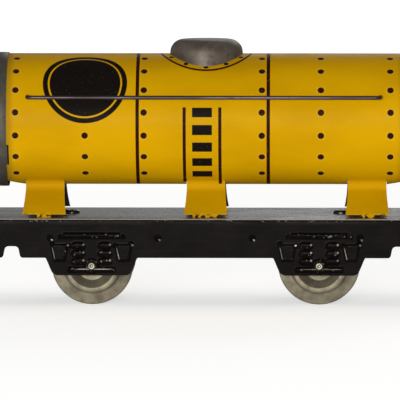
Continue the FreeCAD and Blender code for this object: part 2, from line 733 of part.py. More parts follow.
def make_wheel_back(name, end, side):
    """The disc that closes a wheel from behind, held in the curl of its flange."""
    body = new_body(
        name,
        x=f"{end} * wheelbase / 2",
        y=f"{0 - side} * back_to_back / 2",
        z="flange_radius",
        turned=side == NEAR,
    )
    profile = new_sketch(body, "profile", "YZ")
    bore = "axle_diameter / 2 + press_play"
    outline(
        profile,
        [
            ("0", bore),
            ("0", "flange_radius - wheel_sheet - press_play"),
            ("wheel_sheet", "flange_radius - wheel_sheet - press_play"),
            ("wheel_sheet", "hub_radius"),
            ("2 * wheel_sheet + hub_stand", "hub_radius"),
            ("2 * wheel_sheet + hub_stand", bore),
        ],
    )
    revolution(body, profile, "H_Axis")


# ---------------------------------------------------------------- couplers


def coupler_plate(name, end):
    """A coupler's shank and head, drawn from its pivot outwards, with the pivot's hole."""
    body = new_body(name, x=f"{end} * pivot_place", z="deck_top - coupler_bottom", turned=end == LEFT)
    plan = new_sketch(body, "plan", "XY")
    side = [
        ("coupler_tip", "head_width / 2"),
        ("head_start", "head_width / 2"),
        ("neck_end", "shank_width / 2"),
        ("0 - shank_width / 2", "shank_width / 2"),
    ]
    outline(plan, side + [(x, f"0 - {y}") for x, y in reversed(side)])
    pad(body, plan, "coupler_sheet")
    tip, back = amount("coupler_tip"), amount("0 - shank_width / 2")
    fillet(body, "plate_corners", "head_corner", lambda edge: is_post(edge) and near(edge.BoundBox.XMax, tip))
    fillet(body, "pivot_end", "pivot_corner", lambda edge: is_post(edge) and near(edge.BoundBox.XMin, back))
    hole = new_sketch(body, "pivot_hole", "XY", "coupler_sheet")
    circle(hole, "0", "0", "rivet_shank / 2 + rivet_play")
    pocket(body, hole, "2 * coupler_sheet")
    return body


def is_post(edge):
    """Whether an edge stands upright."""
    box = edge.BoundBox
    return box.XLength < 1e-3 and box.YLength < 1e-3


def make_slot_coupler(name, end):
    body = coupler_plate(name, end)
    slot = new_sketch(body, "link_slot", "XY", "coupler_sheet")
    outer = "coupler_tip - link_slot_edge"
    rectangle(slot, f"{outer} - link_slot_length", outer, "0 - link_slot_width / 2", "link_slot_width / 2")
    pocket(body, slot, "2 * coupler_sheet")


def make_tab_coupler(name, end):
    body = coupler_plate(name, end)
    hook = new_sketch(body, "hook", "XY", "coupler_sheet")
    tip = "coupler_tip - hook_inset"
    rectangle(hook, f"{tip} - coupler_sheet", tip, "0 - hook_width / 2", "hook_width / 2")
    pad(body, hook, "hook_drop + coupler_sheet", backwards=True)
    low, thickness = amount("0 - hook_drop"), amount("coupler_sheet")
    fillet(
        body,
        "hook_corners",
        "hook_corner",
        lambda edge: flat_at(edge, "Z", low) and near(edge.BoundBox.XLength, thickness),
    )


def make_rivet(name, end):
    """A hollow rivet through the deck and a coupler, clenched below."""
    body = new_body(name, x=f"{end} * pivot_place", z="deck_top")
    profile = new_sketch(body, "profile", "XZ")
    clench = "0 - coupler_bottom - coupler_play"
    outline(
        profile,
        [
            ("rivet_bore / 2", "rivet_crown"),
            ("rivet_head / 2", "rivet_crown"),
            ("rivet_head / 2", "0"),
            ("rivet_shank / 2", "0"),
            ("rivet_shank / 2", clench),
            ("rivet_head / 2", clench),
            ("rivet_head / 2", f"{clench} - rivet_clench"),
            ("rivet_bore / 2", f"{clench} - rivet_clench"),
        ],
    )
    revolution(body, profile, "V_Axis")
    crown, head = amount("rivet_crown"), amount("rivet_head")
    fillet(
        body,
        "crown",
        "rivet_round",
        lambda edge: near(edge.BoundBox.ZMin, crown) and near(edge.BoundBox.XLength, head),
    )


make_frame()
make_barrel()
make_dome()
for end, hand in ((LEFT, "left"), (RIGHT, "right")):
    make_cap(f"end_cap_{hand}", end)
    make_rivet(f"coupler_rivet_{hand}", end)
    make_axle(f"axle_{hand}", end)
    for side in (NEAR, FAR):
        make_wheel(f"wheel_{hand}_{side_name(side)}", end, side)
        make_wheel_back(f"wheel_back_{hand}_{side_name(side)}", end, side)
for side in (NEAR, FAR):
    make_handrail(f"handrail_{side_name(side)}", side)
make_slot_coupler("coupler_slot", LEFT)
make_tab_coupler("coupler_tab", RIGHT)

doc.recompute()
for item in doc.Objects:
    if "Invalid" in item.State or "Error" in item.State:
        raise RuntimeError(f"{item.Label} is {item.State}")
for body in bodies:
    if body.Shape.isNull() or not body.Shape.isValid() or len(body.Shape.Solids) != 1:
        raise RuntimeError(f"{body.Label} has no single valid solid")
os.makedirs("parts", exist_ok=True)
for body in bodies:
    body.Shape.exportStep(f"parts/{body.Label}.step")
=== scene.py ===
"""Looks of the tinplate tank wagon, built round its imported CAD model. Shapes are written in millimetres
and turned into metres when a mesh is made."""
import math

import bmesh
import bpy
import numpy as np
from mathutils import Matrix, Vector
from mathutils.geometry import delaunay_2d_cdt


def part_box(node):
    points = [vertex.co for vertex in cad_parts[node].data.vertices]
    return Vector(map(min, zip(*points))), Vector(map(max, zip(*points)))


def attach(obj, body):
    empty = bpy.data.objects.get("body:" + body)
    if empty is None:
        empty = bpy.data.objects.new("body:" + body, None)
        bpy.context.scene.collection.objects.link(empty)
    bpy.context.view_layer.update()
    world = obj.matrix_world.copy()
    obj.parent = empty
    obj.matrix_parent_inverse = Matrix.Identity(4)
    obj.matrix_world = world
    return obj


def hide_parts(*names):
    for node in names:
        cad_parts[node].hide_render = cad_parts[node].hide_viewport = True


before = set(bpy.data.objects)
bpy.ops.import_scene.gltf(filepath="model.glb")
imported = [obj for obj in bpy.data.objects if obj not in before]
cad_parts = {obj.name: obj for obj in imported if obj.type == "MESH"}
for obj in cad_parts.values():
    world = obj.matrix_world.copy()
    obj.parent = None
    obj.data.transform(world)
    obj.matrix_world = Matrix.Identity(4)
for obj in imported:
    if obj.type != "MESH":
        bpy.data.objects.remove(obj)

MM = 0.001
WELD = 0.004 * MM  # points of a mesh that are nearer than this become one
HAIR = 0.001  # the radius that stands for none where a turned shape meets its axis
LEFT, RIGHT = -1, 1
NEAR, FAR = -1, 1  # the sign of Y
WAGON = "wagon_body"

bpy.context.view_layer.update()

# ------------------------------------------------------------ sizes, in mm, read from the frame


def cad(node):
    """A CAD node's lowest and highest corners, in mm."""
    low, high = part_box(node)
    return low / MM, high / MM


# the frame; heights in its outlines count from the deck's top
FRAME_LOW, FRAME_HIGH = cad("frame")
DECK = FRAME_HIGH.z
FRAME_LENGTH = FRAME_HIGH.x  # from the middle to an end
RELIEF = 0.4  # how far the trucks' relief stands out of the frame's sides
FRAME_SIDE = FRAME_HIGH.y - RELIEF
SKIRT = 11.1
TRUCK = DECK - FRAME_LOW.z
SHEET = 0.6
FOLD = 0.7  # outer radius of the deck's edge
DIMPLES = (13.5, 44.3)
DIMPLE_DROP, DIMPLE_RADIUS, DIMPLE_DEPTH = -5.6, 0.9, 0.28

# the barrel; heights on the tank count from its axis
BARREL_LOW, BARREL_HIGH = cad("tank_barrel")
TANK_RADIUS = BARREL_HIGH.y
TANK_AXIS = BARREL_HIGH.z - TANK_RADIUS
BARREL_END = BARREL_HIGH.x
TANK_SHEET = 0.4
RIM = 57.15  # a cap's rim
SEAM_HALF, SEAM_FLARE = 4.5, 7.75  # the open seam's half width, between the legs and at the caps
LUG_SLOT = 0.7
LUG_TOP, LUG_FOOT = -6.5, -12.1

# the legs, each with its tab's half width
LEGS = ((-46.4, 2.0), (0.0, 3.7), (46.4, 2.0))
LEG_HALF, LEG_FOOT, LEG_CUT = 5.55, 6.3, 0.15
LEG_FACE, FOOT_Z = 15.6, -26.55
LEG_ROOT = math.pi - math.radians(27.9)  # round the barrel from its top
ROOT_Z = TANK_RADIUS * math.cos(LEG_ROOT)
LEG_BEND, LEG_KNEE = (6.11, -18.32), (LEG_FACE, -26.28)
TAB_FOLD = BARREL_LOW.z - TANK_AXIS
TAB_TIP = LEG_FACE - 2.6
PLAY = 0.12  # round a tab or a lug in its slot

# the tank's print, in mm round the barrel from its top and along it from its middle
PRINT_SHIFT = 0.8
LEG_STRETCH = 1.27  # mm along a leg for each mm of height
DOT_FIRST, DOT_STEP = math.radians(20.6), math.radians(20.1)
DOT_ROWS = 7
DOT_COLUMNS = (16.9, 33.8, 53.7)
SEAM_PLACE = 18.75
LADDER_PLACE, LADDER_HALF, LADDER_TOP, LADDER_FOOT = 1.0, 5.1, 25.4, 52.3
RUNG_TOP, RUNG_PITCH, RUNG, RUNGS, RUNG_HALF = 25.3, 5.15, 2.95, 5, 2.85
DISC_PLACE, DISC_DROP, DISC_RADIUS = 34.6, 17.9, 12.1
DOME_RING, DOME_DOTS = 13.0, 11.6
DOME_DOT_STEP = math.radians(30)

# the trucks' relief, in mm from an axle
COIL_OUT, COIL_LOW, COIL_PITCH, COILS = 3.8, 1.35, 2.25, 3
COLUMN_OUT = 9.2

RAIL_LOW, RAIL_HIGH = cad("handrail_near")
RAIL_WIRE = (RAIL_HIGH.z - RAIL_LOW.z) / 2
RAIL_HEIGHT = RAIL_LOW.z / 2 + RAIL_HIGH.z / 2
RAIL_ENDS = (RAIL_LOW.x + RAIL_WIRE, RAIL_HIGH.x - RAIL_WIRE)
RAIL_PLAY = 0.06

AXLE_PLACE = cad("axle_right")[0].x / 2 + cad("axle_right")[1].x / 2
AXLE_HEIGHT = cad("wheel_right_near")[1].z / 2
PIVOT = cad("coupler_rivet_right")[0].x / 2 + cad("coupler_rivet_right")[1].x / 2

# ------------------------------------------------------------ mesh tools


def linked(name, data):
    """A new object in the scene."""
    thing = bpy.data.objects.new(name, data)
    bpy.context.scene.collection.objects.link(thing)
    return thing


def new_object(name, mesh, material, body):
    """A piece with its material, body and slot."""
    piece = linked(name, mesh)
    mesh.materials.append(material)
    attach(piece, body)
    return piece


def finish_mesh(mesh, sharp=32.0):
    """Smooth shading with creases where the surface turns by more than an angle, in degrees."""
    for polygon in mesh.polygons:
        polygon.use_smooth = True
    mesh.set_sharp_from_angle(angle=math.radians(sharp))


def stand_in(node, ending, mesh, material, body, sharp):
    """A finished piece in a CAD node's place."""
    piece = new_object(node + ending, mesh, material, body)
    finish_mesh(mesh, sharp)
    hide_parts(node)


def bake_modifiers(piece):
    """Makes the piece's modifiers into its mesh."""
    graph = bpy.context.evaluated_depsgraph_get()
    graph.update()
    done = bpy.data.meshes.new_from_object(piece.evaluated_get(graph))
    piece.modifiers.clear()
    old = piece.data
    piece.data = done
    bpy.data.meshes.remove(old)


def thicken(piece, thickness, sharp=32.0, rounding=0.0):
    """Sheet metal: the mesh is the outside, and the sheet's thickness goes inwards."""
    wall = piece.modifiers.new("sheet", "SOLIDIFY")
    wall.thickness = thickness * MM
    wall.offset = -1.0
    wall.use_even_offset = True
    if rounding:
        edge = piece.modifiers.new("edge", "BEVEL")
        edge.width = rounding * MM
        edge.segments = 2
        edge.limit_method = "ANGLE"
        edge.angle_limit = math.radians(60)
    bake_modifiers(piece)
    finish_mesh(piece.data, sharp)


class Skin:
    """Gathers points and faces, and welds what meets when it becomes a mesh."""

    def __init__(self):
        self.points = []
        self.faces = []

    def grid(self, rows, skip=lambda row, column: False, closed=False):
        """Faces between rows of points, each row as long as the others."""
        first = len(self.points)
        width = len(rows[0])
        for row in rows:
            self.points.extend(row)
        for r in range(len(rows) - 1):
            for c in range(width if closed else width - 1):
                if skip(r, c):
                    continue
                d = (c + 1) % width
                a = first + r * width
                self.faces.append((a + c, a + d, a + width + d, a + width + c))
        return self

    def patch(self, points, faces):
        """Points and the faces between them."""
        first = len(self.points)
        self.points.extend(points)
        self.faces.extend(tuple(first + index for index in face) for face in faces)
        return self

    def fan(self, loop):
        """One face over a loop of points."""
        return self.patch(loop, [range(len(loop))])

    def mesh(self, name):
        """A mesh of what was gathered, its normals facing outwards."""
        shape = bmesh.new()
        made = [shape.verts.new([value * MM for value in point]) for point in self.points]
        for face in self.faces:
            corners = [made[index] for index in face]
            if len(set(corners)) > 2:
                shape.faces.new(corners)
        bmesh.ops.remove_doubles(shape, verts=shape.verts, dist=WELD)
        bmesh.ops.dissolve_degenerate(shape, edges=shape.edges, dist=WELD / 4)
        bmesh.ops.recalc_face_normals(shape, faces=shape.faces)
        mesh = bpy.data.meshes.new(name)
        shape.to_mesh(mesh)
        shape.free()
        return mesh


def rounded(corners, radii, steps=6, closed=False):
    """A polyline with its corners turned into arcs; a radius of 0 keeps a corner."""
    count = len(corners)
    line = []
    for index, corner in enumerate(corners):
        here = Vector(corner)
        radius = radii[index]
        if radius <= 0 or (not closed and index in (0, count - 1)):
            line.append(tuple(here))
            continue
        back = Vector(corners[index - 1]) - here
        on = Vector(corners[(index + 1) % count]) - here
        half = back.angle(on) / 2
        reach = radius / math.tan(half)
        bisector = (back.normalized() + on.normalized()).normalized()
        centre = here + bisector * (radius / math.sin(half))
        start = here + back.normalized() * reach - centre
        end = here + on.normalized() * reach - centre
        turn = math.atan2(start.x * end.y - start.y * end.x, start.dot(end))
        for step in range(steps + 1):
            cosine, sine = math.cos(turn * step / steps), math.sin(turn * step / steps)
            x = centre.x + start.x * cosine - start.y * sine
            y = centre.y + start.x * sine + start.y * cosine
            line.append((x, y))
    return line


def full_turn(steps):
    """Angles all the way round, the last a step short of the first."""
    return [math.tau * step / steps for step in range(steps)]


def spaced(low, high, step):
    """Values from low to high, evenly spaced by about a step."""
    count = max(1, round((high - low) / step))
    return [low + (high - low) * index / count for index in range(count + 1)]


def lathe(profile, place, around=96):
    """Rows of points for a profile of (along, radius) pairs turned round; place(along, out, angle)."""
    return [[place(along, out, angle) for angle in full_turn(around)] for along, out in profile]


def at_axle(end, side):
    """A lathe's place for an axle, counted outwards to one side."""
    return across(end * AXLE_PLACE, AXLE_HEIGHT, side)


def across(x, z, sign):
    """A lathe's place for an axis along Y through x, z, with `along` counted outwards."""
    return lambda along, out, angle: (x + out * math.cos(angle), sign * along, z + out * math.sin(angle))


def upright(x, y, z):
    """A lathe's place for an upright axis."""
    return lambda along, out, angle: (x + out * math.cos(angle), y + out * math.sin(angle), z + along)


def lengthwise(x, sign, z):
    """A lathe's place for an axis along X."""
    return lambda along, out, angle: (x + sign * along, out * math.cos(angle), z + out * math.sin(angle))


def smooth_step(value):
    """From 0 to 1 as the value does, with a soft start and end."""
    value = np.clip(value, 0.0, 1.0)
    return value * value * (3.0 - 2.0 * value)


def rectangle(left, right, low, high):
    """A rectangle's corners, in order."""
    return [(left, low), (right, low), (right, high), (left, high)]


def circle(x, radius):
    """A hole's outline, round a place on X."""
    return [(x + radius * math.cos(turn), radius * math.sin(turn)) for turn in full_turn(32)]


def flat_sheet(loops):
    """Points and faces that fill a plane figure's first loop, apart from the holes of the others."""
    points, edges = [], []
    for loop in loops:
        first = len(points)
        points += [Vector(point) for point in loop]
        edges += [(first + i, first + (i + 1) % len(loop)) for i in range(len(loop))]
    found, _, faces, _, _, _ = delaunay_2d_cdt(points, edges, [], 1, 1e-5)
    kept = []
    for face in faces:
        middle = sum((found[index] for index in face), Vector((0, 0))) / len(face)
        if not any(inside(middle, loop) for loop in loops[1:]):
            kept.append(tuple(face))
    return found, kept


def inside(point, loop):
    """Whether a point lies in a closed loop."""
    hit = False
    for (ax, ay), (bx, by) in zip(loop, loop[1:] + loop[:1]):
        if (ay > point.y) != (by > point.y) and point.x < (bx - ax) * (point.y - ay) / (by - ay) + ax:
            hit = not hit
    return hit


def bore(skin, place, radius, low, high, around):
    """Adds a closed cylinder to a cutter, from low to high along its axis."""
    profile = [(low, HAIR), (low, radius), (high, radius), (high, HAIR)]
    skin.grid(lathe(profile, place, around), closed=True)


def cut_through(piece, skin):
    """Takes a closed shape away from a piece."""
    mesh = skin.mesh("cutter")
    cutter = linked("cutter", mesh)
    cut = piece.modifiers.new("holes", "BOOLEAN")
    cut.operation = "DIFFERENCE"
    cut.object = cutter
    cut.solver = "EXACT"
    bake_modifiers(piece)
    bpy.data.objects.remove(cutter)
    bpy.data.meshes.remove(mesh)


def join_meshes(piece, mesh):
    """Adds another mesh to a piece's own."""
    shape = bmesh.new()
    shape.from_mesh(piece.data)
    shape.from_mesh(mesh)
    bpy.data.meshes.remove(mesh)
    shape.to_mesh(piece.data)
    shape.free()


# ------------------------------------------------------------ materials


class Finish:
    """A procedural material on one Principled shader, with short calls that add its nodes."""

    def __init__(self, name, metallic=0.0, specular=0.5):
        self.material = bpy.data.materials.new(name)
        self.material.use_nodes = True
        self.tree = self.material.node_tree
        self.shader = self.tree.nodes["Principled BSDF"]
        self.put("Metallic", metallic)
        self.put("Specular IOR Level", specular)
        self.place = self.node("TexCoord").outputs["Object"]

    def feed(self, socket, value):
        """Links a socket to another's value, or sets it to a constant."""
        if isinstance(value, bpy.types.NodeSocket):
            self.tree.links.new(value, socket)
        else:
            socket.default_value = value

    def node(self, kind):
        """A new node of a kind."""
        return self.tree.nodes.new("ShaderNode" + kind)

    def put(self, name, value):
        """Feeds one of the shader's own inputs."""
        self.feed(self.shader.inputs[name], value)

    def math(self, operation, first, second=0.0, third=0.0):
        """An operation on values, each of them a socket or a number."""
        node = self.node("Math")
        node.operation = operation
        for socket, value in zip(node.inputs, (first, second, third)):
            self.feed(socket, value)
        return node.outputs[0]

    def chain(self, operation, values):
        """An operation between two values, carried on over a list of them."""
        first, *others = values
        for other in others:
            first = self.math(operation, first, other)
        return first

    def total(self, *values):
        return self.chain("ADD", values)

    def most(self, *values):
        return self.chain("MAXIMUM", values)

    def times(self, *values):
        return self.chain("MULTIPLY", values)

    def minus(self, first, second):
        return self.math("SUBTRACT", first, second)

    def size(self, value):
        return self.math("ABSOLUTE", value)

    def nearest(self, value, pitch):
        """Which of evenly pitched places a value is nearest to, counted from 0."""
        return self.math("ROUND", self.math("DIVIDE", value, pitch))

    def length(self, across, up):
        return self.math("SQRT", self.total(self.times(across, across), self.times(up, up)))

    def coordinates(self, lift=0.0):
        """X, Y and Z in mm, with Z counted from a height in mm."""
        node = self.node("SeparateXYZ")
        self.feed(node.inputs[0], self.place)
        x, y, z = (self.times(node.outputs[axis], 1.0 / MM) for axis in range(3))
        return x, y, self.minus(z, lift)

    def noise(self, size, detail=3.0, roughness=0.55, stretch=(1.0, 1.0, 1.0), offset=0.0):
        """Noise from 0 to 1 whose grain is about a size in mm, drawn out along the axes by stretch."""
        mapping = self.node("Mapping")
        self.feed(mapping.inputs["Vector"], self.place)
        mapping.inputs["Scale"].default_value = [1.0 / factor for factor in stretch]
        mapping.inputs["Location"].default_value = (offset, offset * 0.7, offset * 1.3)
        node = self.node("TexNoise")
        self.feed(node.inputs["Vector"], mapping.outputs[0])
        node.inputs["Scale"].default_value = 1.0 / (size * MM)
        node.inputs["Detail"].default_value = detail
        node.inputs["Roughness"].default_value = roughness
        return node.outputs["Fac"]

    def step(self, value, low, high, out_low=0.0, out_high=1.0):
        """A smooth change from out_low to out_high as value goes from low to high."""
        node = self.node("MapRange")
        node.interpolation_type = "SMOOTHSTEP"
        names = ("Value", "From Min", "From Max", "To Min", "To Max")
        for name, setting in zip(names, (value, low, high, out_low, out_high)):
            self.feed(node.inputs[name], setting)
        return node.outputs[0]

    def speck(self, across, up, size=0.29, edge=0.09):
        """A round speck of a radius in mm, where two distances come to nothing."""
        return self.step(self.length(across, up), size - edge, size + edge, 1.0, 0.0)

    def band(self, value, middle, half, edge=0.06):
        """1 where value is within half of middle, 0 elsewhere."""
        away = self.size(self.minus(value, middle))
        return self.step(away, half - edge, half + edge, 1.0, 0.0)

    def mix(self, first, second, share):
        """A colour between two, each a socket or as it looks from 0 to 255, by a share from 0 to 1."""
        node = self.node("Mix")
        node.data_type = "RGBA"
        self.feed(node.inputs["Factor"], share)
        self.feed(node.inputs[6], self.colour(first))
        self.feed(node.inputs[7], self.colour(second))
        return node.outputs[2]

    @staticmethod
    def colour(value):
        """A socket as it is, or a colour from 0 to 255 as the shader's linear values."""
        if isinstance(value, bpy.types.NodeSocket):
            return value
        shown = [part / 255.0 for part in value]
        linear = [part / 12.92 if part <= 0.04045 else ((part + 0.055) / 1.055) ** 2.4 for part in shown]
        return (*linear, 1.0)

    def bump(self, height, depth):
        """Relief from a height that goes from 0 to 1 and stands for a depth in mm."""
        node = self.node("Bump")
        self.feed(node.inputs["Height"], height)
        node.inputs["Distance"].default_value = depth * MM
        self.put("Normal", node.outputs[0])


def rivet_rows(paint, x, turn):
    """The printed rivets in their rows, their pale halos, and the seams between the barrel's plates."""
    from_first = paint.minus(turn, DOT_FIRST)
    count = paint.nearest(from_first, DOT_STEP)
    missed = paint.times(paint.minus(from_first, paint.times(count, DOT_STEP)), TANK_RADIUS)
    off = paint.size(paint.total(x, PRINT_SHIFT))
    nearest = 100.0
    for column in DOT_COLUMNS:
        nearest = paint.math("MINIMUM", nearest, paint.size(paint.minus(off, column)))
    counted = paint.band(count, (DOT_ROWS - 1) / 2, DOT_ROWS / 2)
    in_column = paint.band(x, -DOT_COLUMNS[1] - PRINT_SHIFT, 3.0)
    on_disc = paint.times(in_column, paint.step(count, 3.4, 3.6, 1.0, 0.0))
    counted = paint.times(counted, paint.minus(1.0, on_disc))
    dots = paint.times(counted, paint.speck(nearest, missed, 0.94, 0.1))
    halos = paint.times(counted, paint.speck(nearest, missed, 1.325, 0.275))
    return dots, halos, paint.band(off, SEAM_PLACE, 0.5)


def ladder(paint, x, around):
    """The printed ladder's uprights and its rungs."""
    from_ladder = paint.total(x, LADDER_PLACE)
    uprights = paint.times(
        paint.band(paint.size(from_ladder), LADDER_HALF, 0.46),
        paint.band(around, (LADDER_TOP + LADDER_FOOT) / 2, (LADDER_FOOT - LADDER_TOP) / 2),
    )
    rung = paint.math("MODULO", paint.minus(around, RUNG_TOP), RUNG_PITCH)
    rungs = paint.times(
        paint.band(rung, RUNG / 2, RUNG / 2),
        paint.band(from_ladder, 0.0, RUNG_HALF),
        paint.band(around, RUNG_TOP + RUNGS * RUNG_PITCH / 2, RUNGS * RUNG_PITCH / 2 - 0.2),
    )
    return uprights, rungs


def disc(paint, x, around):
    """A plain black disc with a thin ring left yellow inside its edge."""
    away = paint.length(paint.total(x, DISC_PLACE), paint.minus(around, DISC_DROP))
    ring = paint.band(away, DISC_RADIUS - 1.7, 0.24)
    whole = paint.step(away, DISC_RADIUS - 0.1, DISC_RADIUS + 0.1, 1.0, 0.0)
    return paint.times(whole, paint.minus(1.0, ring))


def dome_rings(paint, x, around):
    """A line and a ring of printed rivets round the dome."""
    away = paint.length(x, around)
    bearing = paint.math("DIVIDE", paint.math("ARCTAN2", x, around), DOME_DOT_STEP)
    aside = paint.minus(bearing, paint.math("ROUND", bearing))
    aside = paint.times(aside, DOME_DOT_STEP * DOME_DOTS)
    rivets = paint.speck(aside, paint.minus(away, DOME_DOTS), 0.7, 0.1)
    return paint.most(paint.band(away, DOME_RING, 0.38), rivets)


def litho_yellow():
    """The tank's printed sheet: yellow outside with its print in brown and black, bare inside."""
    paint = Finish("litho_yellow", specular=0.016)
    x, y, z = paint.coordinates(TANK_AXIS)
    reach = paint.length(y, z)
    turn = paint.math("ARCTAN2", paint.size(y), z)
    on_leg = paint.math("GREATER_THAN", reach, TANK_RADIUS + 0.2)
    on_barrel = paint.minus(1.0, on_leg)
    down_leg = paint.times(paint.minus(ROOT_Z, z), LEG_STRETCH)
    down_leg = paint.total(down_leg, TANK_RADIUS * LEG_ROOT)
    around = paint.total(paint.times(turn, TANK_RADIUS, on_barrel), paint.times(down_leg, on_leg))

    dots, halos, seams = (paint.times(mark, on_barrel) for mark in rivet_rows(paint, x, turn))
    uprights, rungs = ladder(paint, x, around)
    brown = paint.most(seams, dots, uprights, dome_rings(paint, x, around))
    black = paint.most(rungs, disc(paint, x, around))
    mottle = paint.noise(14.0, detail=5.0, stretch=(2.2, 1.0, 1.0))
    yellow = paint.mix((190, 143, 1), (180, 134, 1), paint.step(mottle, 0.4, 0.68))
    yellow = paint.mix(yellow, (194, 152, 30), paint.times(halos, 0.5))
    print_wear = paint.step(paint.noise(0.5, detail=2.0, offset=0.3), 0.66, 0.74, 0.0, 0.35)
    face = paint.mix(yellow, (40, 16, 10), paint.times(brown, paint.minus(1.0, print_wear)))
    black_share = paint.times(black, paint.minus(1.0, paint.times(print_wear, 0.4)))
    face = paint.mix(face, (19, 15, 13), black_share)
    spots = paint.step(paint.noise(1.1, detail=4.0, roughness=0.7, offset=0.11), 0.735, 0.77)
    face = paint.mix(face, (140, 92, 20), paint.times(spots, 0.6))
    # Painted shade: the yellow darkens towards each cap's rim, within a few mm of it.
    rim_shade = paint.step(paint.size(x), RIM - 2.6, RIM - 0.4, 0.0, 0.45)
    face = paint.mix(face, (112, 84, 26), rim_shade)
    foot = paint.step(z, FOOT_Z - 0.5, FOOT_Z + 0.7, 1.0, 0.0)
    ragged = paint.noise(1.3, detail=3.0, roughness=0.6, offset=0.5)
    ragged = paint.total(ragged, paint.times(foot, 0.12))
    face = paint.mix(face, (34, 24, 20), paint.times(foot, paint.step(ragged, 0.6, 0.64)))

    normal = paint.node("SeparateXYZ")
    paint.feed(normal.inputs[0], paint.node("TexCoord").outputs["Normal"])
    facing = paint.total(paint.times(normal.outputs[1], y), paint.times(normal.outputs[2], z))
    facing = paint.times(paint.math("DIVIDE", facing, reach), on_barrel)
    leg_facing = paint.times(normal.outputs[1], paint.math("SIGN", y), on_leg)
    bare = paint.step(paint.total(facing, leg_facing), 0.05, 0.35, 1.0, 0.0)
    inside_tin = paint.mix((150, 146, 138), (120, 112, 100), mottle)
    paint.put("Base Color", paint.mix(face, inside_tin, bare))
    paint.put("Metallic", paint.times(bare, 0.9))
    gloss = paint.noise(3.0, detail=4.0, offset=0.8)
    paint.put("Roughness", paint.total(paint.step(gloss, 0.3, 0.7, 0.34, 0.44), paint.times(bare, 0.05)))
    paint.bump(paint.total(paint.noise(9.0, detail=2.0, offset=0.2), paint.times(dots, 0.05)), 0.05)
    return paint.material


def truck_glints(paint, x, z):
    """Painted highlights on a truck's relief: specks at the coils' ends and the columns' tops, lines down the
    columns' edges and along the lower bar, and glints at the rims of the dimples.
    """
    hand = paint.math("SIGN", x)
    from_axle = paint.minus(x, paint.times(hand, AXLE_PLACE))
    above = paint.minus(z, AXLE_HEIGHT)
    half = paint.math("SIGN", from_axle)
    from_column = paint.minus(from_axle, paint.times(half, COLUMN_OUT))

    coil = paint.nearest(paint.minus(above, COIL_LOW), COIL_PITCH)
    coil = paint.most(paint.math("MINIMUM", coil, COILS - 1.0), 0.0)
    from_coil = paint.minus(from_axle, paint.math("MULTIPLY_ADD", half, COIL_OUT, 1.5))
    from_row = paint.minus(above, paint.math("MULTIPLY_ADD", coil, COIL_PITCH, COIL_LOW + 0.25))
    coils = paint.speck(from_coil, from_row)

    ears = paint.speck(paint.minus(from_column, 2.5), paint.minus(above, 5.95))
    in_dimple = paint.minus(z, DECK + DIMPLE_DROP - 0.4)
    dimples = [end * place + 0.45 for place in DIMPLES for end in (LEFT, RIGHT)]
    glints = [paint.speck(paint.minus(x, place), in_dimple, 0.26) for place in dimples]

    lean = paint.math("MULTIPLY_ADD", above, -0.22, -1.0)
    edges = paint.band(paint.minus(from_column, lean), 0.15, 0.12, 0.1)
    edges = paint.times(edges, paint.band(above, 3.6, 1.6, 0.4))
    bar = paint.times(paint.band(above, -0.9, 0.12, 0.1), paint.band(from_axle, 0.5, 5.0, 1.5))
    marks = (paint.times(ears, 0.8), paint.times(edges, 0.7), paint.times(bar, 0.35))
    return paint.most(coils, *glints, *marks)


def frame_black():
    """Glossy black enamel over tin, chipped on the relief and along the deck's edge, dusty on the deck, with
    painted highlights on the trucks' relief and the deck's fold, and the deck's dust lightened to stand in
    for its sheen as a painted reflection.
    """
    paint = Finish("frame_black")
    x, y, z = paint.coordinates()
    side = paint.size(y)
    mottle = paint.noise(7.0, detail=5.0, roughness=0.6)
    face = paint.mix((8, 5, 4), (14, 9, 7), paint.step(mottle, 0.4, 0.7))
    on_deck = paint.step(z, DECK - 0.4, DECK - 0.05)
    # Grey dust on the deck, lightened so that it also stands in for the deck's sheen: partly dust, partly
    # painted reflection.
    dust_and_sheen = paint.noise(2.4, detail=6.0, roughness=0.7, stretch=(3.0, 1.0, 1.0), offset=0.4)
    face = paint.mix(face, (92, 87, 82), paint.times(on_deck, paint.step(dust_and_sheen, 0.3, 0.8, 0.45, 0.8)))
    # A painted highlight along the deck's rounded edge, where the fold catches the light.
    fold_highlight = paint.band(side, FRAME_SIDE - 0.58, 0.28, 0.1)
    fold_highlight = paint.times(fold_highlight, paint.step(z, DECK - 0.3, DECK - 0.15), 0.8)
    face = paint.mix(face, (206, 202, 194), fold_highlight)

    chips = paint.step(paint.noise(0.9, detail=3.0, roughness=0.65, offset=0.9), 0.61, 0.65)
    flecks = paint.step(paint.noise(1.6, detail=5.0, roughness=0.75, offset=0.6), 0.72, 0.75)
    raised = paint.step(side, FRAME_SIDE + 0.18, FRAME_SIDE + 0.36)
    fold = paint.band(z, DECK - 0.35, 0.3, 0.2)
    fold = paint.times(fold, paint.step(side, FRAME_SIDE - 0.9, FRAME_SIDE - 0.4))
    # Painted highlights on the trucks' relief, drawn as bare metal.
    relief_glints = paint.times(
        truck_glints(paint, x, z),
        paint.step(side, FRAME_SIDE - 0.8, FRAME_SIDE - 0.6),
        paint.step(mottle, 0.4, 0.6, 0.4, 1.0),
    )
    # Real chips and flecks of wear, together with the painted highlights on the relief.
    wear_and_glints = paint.most(
        paint.times(raised, chips, 0.3), paint.times(flecks, 0.5), paint.times(fold, chips, 0.5), relief_glints
    )
    paint.put("Base Color", paint.mix(face, (164, 160, 148), wear_and_glints))
    paint.put("Metallic", paint.times(wear_and_glints, 0.5))
    smears = paint.noise(5.0, detail=5.0, stretch=(2.5, 1.0, 0.8), offset=0.15)
    paint.put("Roughness", paint.total(paint.step(smears, 0.3, 0.75, 0.22, 0.4), paint.times(on_deck, -0.04)))
    paint.put("Specular IOR Level", paint.math("MULTIPLY_ADD", on_deck, 0.5, 0.02))
    paint.bump(paint.total(paint.times(smears, 0.7), paint.times(wear_and_glints, -0.5)), 0.06)
    return paint.material


